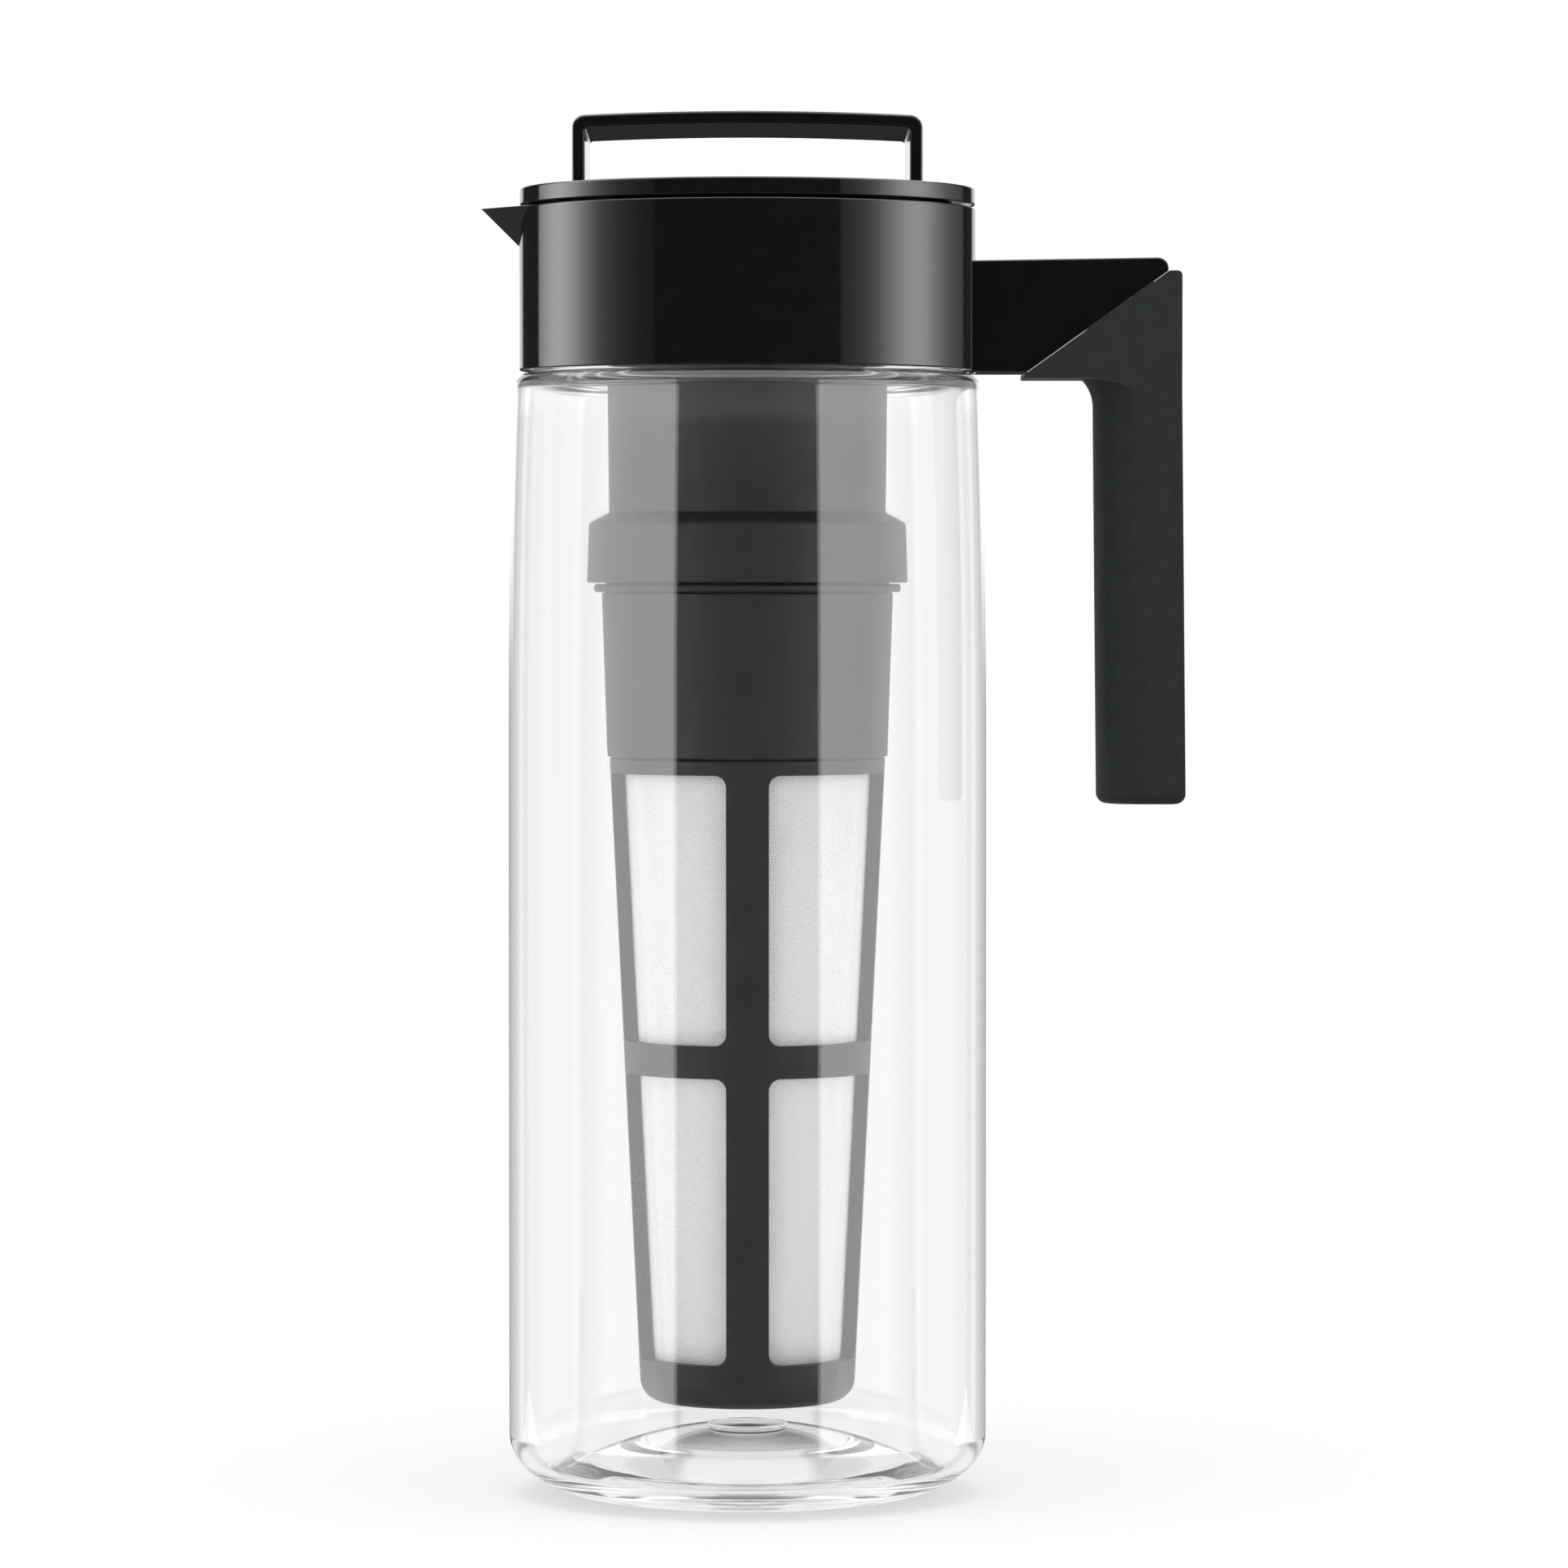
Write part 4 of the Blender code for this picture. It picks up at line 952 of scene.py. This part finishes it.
def make_lid_skirt():
    inner = PLUG_RADIUS - PLUG_WALL
    tenon_top = LID_BOTTOM + PLUG_TENON - CLEARANCE
    spigot = TUBE_BORE - CLEARANCE
    spigot_bottom = ROOF_BOTTOM - SPIGOT_LENGTH
    groove = SPIGOT_WALL / 2
    groove_bottom = spigot_bottom + groove
    groove_top = groove_bottom + groove + 2 * CLEARANCE
    profile = [
        (0, ROOF_TOP),
        (inner, ROOF_TOP),
        (inner, tenon_top),
        (PLUG_RADIUS, tenon_top),
        (PLUG_RADIUS, PLUG_BOTTOM, EDGE_ROUND),
        (inner, PLUG_BOTTOM, EDGE_ROUND),
        (inner, ROOF_BOTTOM),
        (spigot, ROOF_BOTTOM),
        (spigot, groove_top),
        (spigot - groove, groove_top),
        (spigot - groove, groove_bottom),
        (spigot, groove_bottom),
        (spigot, spigot_bottom, EDGE_ROUND),
        (spigot - SPIGOT_WALL, spigot_bottom, EDGE_ROUND),
        (spigot - SPIGOT_WALL, ROOF_BOTTOM),
        (0, ROOF_BOTTOM),
    ]
    skirt = lathe("lid_skirt", profile)
    lug_reach = BORE_RADIUS - PLUG_RADIUS - 1.5 * CLEARANCE
    lid_lug = lug(PLUG_RADIUS, lug_reach, LEDGE_BOTTOM - CLEARANCE - LUG_HEIGHT, LUG_HEIGHT)
    tube_lug = lug(spigot, TUBE_LUG_REACH, TUBE_LUG_BOTTOM, TUBE_LUG_HEIGHT)
    for i in range(LUG_COUNT):
        join(skirt, wedge(lid_lug, LUG_PITCH * i, LUG_ANGLE))
        join(skirt, wedge(tube_lug, LUG_PITCH * i, TUBE_LUG_ANGLE))
    cut_port(skirt, inner, PLUG_RADIUS)
    return dress(skirt, "lid", "satin_grey", "lid_plug")


def make_lid_sleeve():
    inner = PLUG_RADIUS + CLEARANCE
    sleeve = lathe("lid_sleeve", rounded_block(inner, SLEEVE_RADIUS, SLEEVE_BOTTOM, SLEEVE_TOP, EDGE_ROUND))
    cut_port(sleeve, inner, SLEEVE_RADIUS)
    return dress(sleeve, "lid", "silicone", "lid_gasket")


# Extension


def bayonet_cuts(piece, radii, leg, mouth, lug_angle, turn):
    """L shaped tracks: a leg that a lug turns along, and an entry at its far end that it leaves by."""
    inner, outer = radii
    leg_middle = sum(leg) / 2
    track = block(inner, outer, *leg)
    way_in = block(inner, outer - CLEARANCE / 3, min(leg_middle, mouth), max(leg_middle, mouth))
    for i in range(LUG_COUNT):
        middle = LUG_PITCH * i
        carve(piece, wedge(track, middle + turn / 2, lug_angle + SLOT_PLAY_ANGLE + abs(turn)))
        carve(piece, wedge(way_in, middle + turn, lug_angle + SLOT_PLAY_ANGLE / 2))


def make_tube():
    bell_inner = BELL_SHOULDER_RADIUS - BELL_WALL
    profile = [
        (TUBE_BORE, TUBE_TOP, EDGE_ROUND),
        (TUBE_BORE, BELL_ROOF),
        (bell_inner, BELL_ROOF),
        (bell_inner, BELL_BOTTOM, EDGE_ROUND),
        (BELL_RADIUS, BELL_BOTTOM, EDGE_ROUND),
        (BELL_SHOULDER_RADIUS, BELL_SHOULDER, 3 * EDGE_ROUND),
        (TUBE_FOOT_RADIUS, BELL_TOP, EDGE_ROUND),
        (TUBE_TOP_RADIUS, TUBE_TOP, EDGE_ROUND),
    ]
    tube = lathe("infuser_tube", profile)
    through = (TUBE_BORE - OVERLAP, TUBE_TOP_RADIUS + OVERLAP)
    leg = (TUBE_LUG_BOTTOM - CLEARANCE, TUBE_LUG_BOTTOM + TUBE_LUG_HEIGHT + CLEARANCE)
    bayonet_cuts(tube, through, leg, TUBE_TOP + OVERLAP, TUBE_LUG_ANGLE, -TUBE_TURN)
    low = BELL_BOTTOM + BASKET_LUG_RISE - CLEARANCE
    leg = (low, low + BASKET_LUG_HEIGHT + 2 * CLEARANCE)
    blind = (bell_inner - OVERLAP, bell_inner + BASKET_LUG_REACH)
    bayonet_cuts(tube, blind, leg, BELL_BOTTOM - OVERLAP, BASKET_LUG_ANGLE, BASKET_TURN)
    return dress(tube, "extension", "satin_grey", "infuser_extension")


# Basket


def frame_radius(height):
    share = (height - CUP_BOTTOM) / FRAME_HEIGHT
    return FRAME_FOOT_RADIUS + (FRAME_TOP_RADIUS - FRAME_FOOT_RADIUS) * share


def make_basket_ring():
    seat = RING_TOP_RADIUS - BEAD_SEAT_DEPTH
    neck = BELL_SHOULDER_RADIUS - BELL_WALL - CLEARANCE
    profile = [
        (RING_BORE, RING_BOTTOM),
        (RING_FOOT_RADIUS, RING_BOTTOM, EDGE_ROUND),
        (RING_TOP_RADIUS, RING_TOP, EDGE_ROUND),
        (seat, RING_TOP),
        (seat, BELL_BOTTOM),
        (neck, BELL_BOTTOM),
        (neck, RING_NECK_TOP, EDGE_ROUND),
        (RING_BORE, RING_NECK_TOP, EDGE_ROUND),
    ]
    ring = lathe("basket_ring", profile)
    basket_lug = lug(neck, BASKET_LUG_REACH, BELL_BOTTOM + BASKET_LUG_RISE, BASKET_LUG_HEIGHT)
    for i in range(LUG_COUNT):
        join(ring, wedge(basket_lug, LUG_PITCH * i, BASKET_LUG_ANGLE))
    return dress(ring, "infuser", "satin_grey", "infuser_ring")


def window_block(bottom, top, quarter):
    """A block that opens one quarter of the frame between two ribs, its corners beside the ribs rounded."""
    near = RIB_WIDTH / 2
    far = FRAME_TOP_RADIUS + OVERLAP
    bm = bmesh.new()
    bmesh.ops.create_cube(bm, size=1.0)
    bmesh.ops.scale(bm, vec=(far - near, far - near, top - bottom), verts=bm.verts)
    middle = (near + far) / 2
    bmesh.ops.translate(bm, vec=(middle, middle, (bottom + top) / 2), verts=bm.verts)
    beside_ribs = []
    for edge in bm.edges:
        one, other = (vert.co for vert in edge.verts)
        level = abs(one.z - other.z) < CLEARANCE
        if level and (max(one.x, other.x) < middle or max(one.y, other.y) < middle):
            beside_ribs.append(edge)
    soften(bm, beside_ribs, WINDOW_ROUND, WINDOW_STEPS)
    turn = Matrix.Rotation(math.tau / RIB_COUNT * quarter, 3, "Z")
    bmesh.ops.rotate(bm, cent=(0, 0, 0), matrix=turn, verts=bm.verts)
    return new_piece("window", bm)


def make_basket_frame():
    tenon = RING_BORE - CLEARANCE
    tenon_inner = FRAME_TOP_RADIUS - FRAME_WALL
    foot_round = (frame_radius(CUP_BOTTOM + CUP_ROUND) - CUP_ROUND, CUP_BOTTOM + CUP_ROUND)
    floor = CUP_BOTTOM + FRAME_FLOOR
    floor_round = (foot_round[0], floor + CUP_ROUND - FRAME_WALL)
    profile = [
        (0, CUP_BOTTOM),
        *arc(foot_round, CUP_ROUND, -90, 0),
        (FRAME_TOP_RADIUS, FRAME_TOP, EDGE_ROUND),
        (tenon, FRAME_TOP),
        (tenon, TENON_TOP),
        (tenon_inner, TENON_TOP),
        (tenon_inner, FRAME_TOP),
        *arc(floor_round, CUP_ROUND - FRAME_WALL, 0, -90),
        (0, floor),
    ]
    basket = lathe("basket_frame", profile)
    upper_top = FRAME_TOP - TOP_BAND
    upper_bottom = upper_top - UPPER_WINDOW
    for quarter in range(RIB_COUNT):
        carve(basket, window_block(upper_bottom, upper_top, quarter))
        carve(basket, window_block(CUP_BOTTOM + CUP_HEIGHT, upper_bottom - MIDDLE_BAND, quarter))
    return dress(basket, "infuser", "satin_grey", "infuser_frame")


def make_mesh_panel(node, middle):
    """A woven panel behind one column of windows, its weave measured from the rib at the front or back."""
    bottom = CUP_BOTTOM + CUP_HEIGHT - MESH_HEM
    top = FRAME_TOP - TOP_BAND + MESH_HEM
    width = 360 / RIB_COUNT - math.degrees(RIB_WIDTH / 2 / FRAME_TOP_RADIUS)
    inset = FRAME_WALL + CLEARANCE + MESH_THICKNESS / 2
    low = frame_radius(bottom) - inset
    high = frame_radius(top) - inset
    line = zip(spaced(low, high, MESH_ROWS), spaced(bottom, top, MESH_ROWS))
    bm = turned(line, False, middle - width / 2, width, MESH_COLUMNS)
    uv = bm.loops.layers.uv.new("weave")
    for face in bm.faces:
        for loop in face.loops:
            x, y, z = loop.vert.co
            sideways = math.atan2(abs(x), abs(y))
            loop[uv].uv = (sideways * (low + high) / 2, z - bottom)
    panel = new_piece(node.replace("mesh", "weave"), bm)
    dress(panel, "infuser", "weave", node)
    wall = panel.modifiers.new("thread", "SOLIDIFY")
    wall.thickness = MESH_THICKNESS
    wall.offset = 0.0
    return panel


# Stage


# Studio light, in multiples of the background's white, with a soft edge as its middle and half its width
AMBIENT = 0.80
SEEN_STRAIGHT = 0.97
# Beside the jug's middle, what is seen through it is dimmed: painted shade
SEEN_PAINTED_SHADE = 0.66
SEEN_ASIDE = 0.94
STRAIGHT_ENTRY = 0.0144
STRAIGHT_SLOPE = 0.0244
ASIDE_ENTRY = 0.0375
ASIDE_SLOPE = 0.0840
ASIDE_BLUR = 0.006
SEEN_BLUR = 0.002
FRONT_STRENGTH = 0.03
BACKDROP_EDGE = (158.0, 1.0)
HORIZON = (0.0, 0.02)
CEILING_EDGE = (0.55, 0.05)
CEILING_STRENGTH = 3.0
GROUND_EDGE = (0.30, 0.05)
GROUND_STRENGTH = 0.15
INNER_TOP = (0.10, 0.04)
INNER_BOTTOM = (0.17, 0.03)
INNER_STRENGTH = 0.85
DEEP_PATH = 4.5
DEEP_STRENGTH = 0.88
FOOT_STRENGTH = 0.85
FOOT_PANEL = ((-1.2, -1.2), (1.2, 1.0))
FOOT_LEVEL = -0.15
PANEL_DISTANCE = 1.0
VEIL_PANEL = ((-1.5, -1.0), (7.2, 0.6))
VEIL_TOP = 0.45
VEIL_BOTTOM = (-0.135, 0.02)
GLOW_PANEL = ((-1.0, -0.1), (1.75, 0.9))
VEIL_EDGE = (34.8, 0.4)
VEIL_END = (88.0, 6.0)
VEIL_STRENGTH = 3.1
FILL_STRENGTH = 0.9
EDGE_START = (149.0, 3.0)
EDGE_STRENGTH = 0.60
GLOW_EDGE = (47.0, 1.0)
LEFT_GLOW = -104.0
LEFT_END = (-128.5, 0.5)
RIGHT_GLOW = 89.0
RIGHT_END = (138.5, 1.5)
GLOW_WIDTH = 18.5
GLOW_STRENGTH = 4.0
HALO_WIDTH = 40.0
HALO_STRENGTH = 0.95
LAMP_HEIGHT = 1.4
LAMP_FORWARD = 0.3
LAMP_SIZE = 0.9
LAMP_POWER = 6.0
WEAVE_LAMP = 0.8
WEAVE_POWER = 2.5
LAMP_LEVEL = 0.15
FLOOR_RADIUS = 0.45
FLOOR_FADE = (0.18, 0.06)
FLOOR_GLOW = 0.55
FLOOR_TONE = 0.46


def make_world():
    """White for the camera and through the jug, even on matt surfaces, and a dim room for reflections."""
    world = bpy.data.worlds.new("studio")
    bpy.context.scene.world = world
    world.use_nodes = True
    world.cycles.sampling_method = "NONE"
    tree = world.node_tree
    maths = Maths(tree)
    azimuth, height = maths.azimuth(new_node(tree, "TexCoord").outputs["Generated"])
    aside = maths("ABSOLUTE", azimuth)
    depth = maths("MULTIPLY", height, -1.0)
    backdrop = maths.product(maths.rise(aside, *BACKDROP_EDGE), maths.rise(height, *HORIZON))
    ceiling = maths.product(maths.rise(height, *CEILING_EDGE), CEILING_STRENGTH)
    ground = maths.product(maths.rise(depth, *GROUND_EDGE), GROUND_STRENGTH)
    room = maths.total(backdrop, ceiling, ground, FRONT_STRENGTH)
    path = maths.path()
    bright = maths("MAXIMUM", maths.rise(height, *INNER_TOP), maths.rise(depth, *INNER_BOTTOM))
    inner_room = maths.picked(bright, INNER_STRENGTH, FRONT_STRENGTH)
    deep = maths("GREATER_THAN", path["Transmission Depth"], DEEP_PATH)
    inner_room = maths.picked(deep, DEEP_STRENGTH, inner_room)
    room = maths.picked(maths.some(path["Transmission Depth"]), inner_room, room)
    through = maths.product(path["Is Transmission Ray"], maths.none(path["Diffuse Depth"]))
    # Through the jug the world is dimmed beside its middle: painted shade
    off_straight = maths("TANGENT", maths("RADIANS", maths("SUBTRACT", 180.0, aside)))
    painted_shade_zone = maths.rise(off_straight, STRAIGHT_SLOPE, SEEN_BLUR)
    beyond = maths.rise(off_straight, ASIDE_SLOPE, ASIDE_BLUR)
    strength = maths.picked(through, maths.seen(painted_shade_zone, beyond), AMBIENT)
    strength = maths.picked(maths.mirrored(path), room, strength)
    strength = maths.picked(path["Is Camera Ray"], 1.0, strength)
    fill(tree, tree.nodes["Background"], {"Color": (1, 1, 1, 1), "Strength": strength})


def veil_light(maths, azimuth, height):
    """Even from the edge of the dark front, dimmer behind the pitcher, and cut off above and below."""
    aside = maths("ABSOLUTE", azimuth)
    path = maths.path()
    level = maths.picked(maths.rise(aside, *VEIL_END), FILL_STRENGTH, VEIL_STRENGTH)
    level = maths.picked(maths.rise(aside, *EDGE_START), EDGE_STRENGTH, level)
    bounced = maths.some(maths("ADD", path["Glossy Depth"], path["Diffuse Depth"]))
    climb = maths.product(height, maths("SINE", maths("RADIANS", aside)))
    slope = maths("DIVIDE", climb, PANEL_DISTANCE)
    low = maths("LESS_THAN", slope, VEIL_TOP)
    high = maths.rise(slope, *VEIL_BOTTOM)
    shallow = maths("LESS_THAN", path["Transmission Depth"], DEEP_PATH)
    return maths.product(maths.rise(aside, *VEIL_EDGE), level, bounced, low, high, shallow)


def glow_light(maths, azimuth, _height):
    """A bright middle that falls off softly to both sides, with a sharp end behind the spout."""
    glows = []
    for middle in (LEFT_GLOW, RIGHT_GLOW):
        glows.append(maths.product(maths.bell(azimuth, middle, GLOW_WIDTH), GLOW_STRENGTH))
        glows.append(maths.product(maths.bell(azimuth, middle, HALO_WIDTH), HALO_STRENGTH))
    front = maths.rise(maths("ABSOLUTE", azimuth), *GLOW_EDGE)
    left_end = maths.rise(azimuth, *LEFT_END)
    right_end = maths("SUBTRACT", 1.0, maths.rise(azimuth, *RIGHT_END))
    return maths.product(maths.total(*glows), front, left_end, right_end)


def foot_light(maths, _azimuth, _height):
    """Even, and only for reflections on the jug's outside."""
    path = maths.path()
    return maths.product(maths.mirrored(path), maths.none(path["Transmission Depth"]), FOOT_STRENGTH)


def area_lamp(name, width, length, energy, place, turn):
    """A soft lamp that the camera doesn't see, turned by degrees about X, Y and Z."""
    light = bpy.data.lights.new(name, "AREA")
    light.shape = "RECTANGLE"
    light.size = width
    light.size_y = length
    light.energy = energy
    lamp = bpy.data.objects.new(name, light)
    lamp.location = place
    lamp.rotation_euler = [math.radians(angle) for angle in turn]
    lamp.visible_camera = False
    bpy.context.scene.collection.objects.link(lamp)
    return lamp


def group(name, pieces):
    """A collection of pieces for a lamp to light, or to be shaded by."""
    collection = bpy.data.collections.new(name)
    for piece in pieces:
        collection.objects.link(piece)
    return collection


def make_panel(name, width, length, place, turn, profile, pieces):
    """A soft panel that lights only some pieces, by a profile of where its spots lie round the pitcher."""
    panel = area_lamp(name, width, length, math.pi * width * length, place, (0, turn, 0))
    panel.light_linking.receiver_collection = group(name, pieces)
    panel.data.use_nodes = True
    tree = panel.data.node_tree
    maths = Maths(tree)
    azimuth, height = maths.azimuth(new_node(tree, "NewGeometry").outputs["Position"], AXIS_X)
    fill(tree, tree.nodes["Emission"], {"Strength": profile(maths, azimuth, height)})


def make_side_panel(name, side, low, high, profile, pieces):
    """A panel beside the pitcher, between two (y, z) corners."""
    place = (AXIS_X + side * PANEL_DISTANCE, (low[0] + high[0]) / 2, (low[1] + high[1]) / 2)
    make_panel(name, high[1] - low[1], high[0] - low[0], place, 90 * side, profile, pieces)


def make_foot_panel(jug):
    """A pale ground for the jug's reflections, between two (x, y) corners."""
    low, high = FOOT_PANEL
    place = (AXIS_X, (low[1] + high[1]) / 2, FOOT_LEVEL)
    make_panel("foot", high[0] - low[0], high[1] - low[1], place, 180, foot_light, [jug])


def make_floor():
    """A pale disc that shows white to the camera and keeps the pitcher's shadow around its foot."""
    bm = bmesh.new()
    bmesh.ops.create_circle(bm, cap_ends=True, segments=128, radius=FLOOR_RADIUS)
    bmesh.ops.translate(bm, verts=bm.verts, vec=(0, 0, -HAIRLINE))
    floor = new_piece("floor", bm)
    material = bpy.data.materials.new("pale_floor")
    material.use_nodes = True
    tree = material.node_tree
    tree.nodes.remove(tree.nodes["Principled BSDF"])
    maths = Maths(tree)
    path = maths.path()
    across, depth, _, away = maths.place()
    aside = maths("ABSOLUTE", across)

    def past(entry, slope):
        edge = maths("ADD", maths("MULTIPLY", depth, slope), entry)
        return maths.rise(maths("SUBTRACT", aside, edge), 0.0, SEEN_BLUR)

    def glowing(strength):
        return new_node(tree, "Emission", Strength=strength).outputs["Emission"]

    def combined(kind, first, second, **sockets):
        node = new_node(tree, kind, **sockets)
        for socket, shader in zip(list(node.inputs)[-2:], (first, second)):
            put(tree, socket, shader)
        return node.outputs["Shader"]

    # A wedge of the floor beside the jug's middle glows dimmer when seen through the jug: painted shade
    clear = maths.seen(past(STRAIGHT_ENTRY, STRAIGHT_SLOPE), past(ASIDE_ENTRY, ASIDE_SLOPE))
    clear = maths.picked(path["Is Camera Ray"], 1.0, clear)
    matt = new_node(tree, "BsdfDiffuse", Color=(FLOOR_TONE, FLOOR_TONE, FLOOR_TONE, 1)).outputs["BSDF"]
    lit = combined("AddShader", matt, glowing(maths.product(path["Is Camera Ray"], FLOOR_GLOW)))
    # Seen through the jug the floor is this glow alone, painted light in place of its lit shading and shadow
    bare = maths("MAXIMUM", maths.rise(away, *FLOOR_FADE), path["Is Transmission Ray"])
    faded = combined("MixShader", lit, glowing(clear), Fac=bare)
    unseen = new_node(tree, "BsdfTransparent").outputs["BSDF"]
    surface = combined("MixShader", faded, unseen, Fac=maths.mirrored(path))
    fill(tree, tree.nodes["Material Output"], {"Surface": surface})
    floor.data.materials.append(material)


def matt_lamp(name, power, place, turn):
    """A soft lamp for matt surfaces alone."""
    lamp = area_lamp(name, LAMP_SIZE, LAMP_SIZE, power, place, turn)
    lamp.visible_glossy = False
    lamp.visible_transmission = False
    return lamp


def make_lamp():
    """One soft lamp overhead gives the matt surfaces their shape and the floor its shadow."""
    matt_lamp("overhead", LAMP_POWER, (AXIS_X, -LAMP_FORWARD, LAMP_HEIGHT), (0, 0, 0))


def make_weave_lamp(name, side, weave, basket):
    """A soft lamp to one side of the camera for the pale weave alone, which the clear jug doesn't shade."""
    place = (AXIS_X + side * WEAVE_LAMP, -WEAVE_LAMP, LAMP_LEVEL)
    lamp = matt_lamp(name, WEAVE_POWER, place, (90, 0, 45 * side))
    lamp.light_linking.receiver_collection = group(name + "_lights", weave)
    lamp.light_linking.blocker_collection = group(name + "_shade", basket)


# The camera stands square to the plane of spout and handle, turned a little down and to the handle
CAMERA_DISTANCE = 1.532
CAMERA_HEIGHT = 0.1983
CAMERA_TILT = 1.627
CAMERA_PAN = 0.298
CAMERA_LENS = 161.4


def make_camera():
    lens = bpy.data.cameras.new("camera")
    lens.lens = CAMERA_LENS
    camera = bpy.data.objects.new("camera", lens)
    camera.location = (AXIS_X, -CAMERA_DISTANCE, CAMERA_HEIGHT)
    camera.rotation_euler = (math.radians(90 - CAMERA_TILT), 0, math.radians(-CAMERA_PAN))
    bpy.context.scene.collection.objects.link(camera)
    bpy.context.scene.camera = camera


def build():
    jug = make_jug()
    make_ring("neck_seal", NECK_INNER_RADIUS + CLEARANCE, EDGE_ROUND, "jug", "silicone", "neck_gasket")
    collar = make_collar()
    arm = make_arm()
    arm.visible_glossy = False
    black_pieces = [collar, arm, make_lid_disc(), make_strap()]
    make_grip().visible_glossy = False
    plug_outside = PLUG_RADIUS + CLEARANCE
    make_ring("lid_seal_ring", plug_outside, LID_SEAL_ROUND, "lid_seal", "silicone", "lid_o_ring")
    make_lid_skirt()
    make_lid_sleeve()
    groove_floor = TUBE_BORE - SPIGOT_WALL / 2
    make_ring("tube_seal_ring", groove_floor, EDGE_ROUND, "lid", "silicone", "extension_o_ring")
    make_tube()
    make_basket_ring()
    bead_seat = RING_TOP_RADIUS - BEAD_SEAT_DEPTH + CLEARANCE
    make_ring("basket_bead", bead_seat, BEAD_ROUND, "infuser", "satin_grey", "infuser_gasket")
    basket = [make_basket_frame()]
    weave = [make_mesh_panel(node, 360 / RIB_COUNT * (i + 0.5)) for i, node in enumerate(MESH_NODES)]
    for node in ("handle_screw_front", "handle_screw_back"):
        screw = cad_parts[node]
        paint(screw, "steel")
        screw.visible_glossy = False
    make_world()
    make_floor()
    make_lamp()
    for name, side in (("left", -1), ("right", 1)):
        make_side_panel(name + "_veil", side, *VEIL_PANEL, veil_light, [jug])
        make_side_panel(name + "_glow", side, *GLOW_PANEL, glow_light, black_pieces)
        make_weave_lamp(name + "_weave", side, weave, basket)
    make_foot_panel(jug)
    make_camera()
    scene = bpy.context.scene
    scene.view_settings.view_transform = "Standard"
    scene.cycles.max_bounces = 24
    scene.cycles.glossy_bounces = 16
    scene.cycles.transmission_bounces = 24


build()
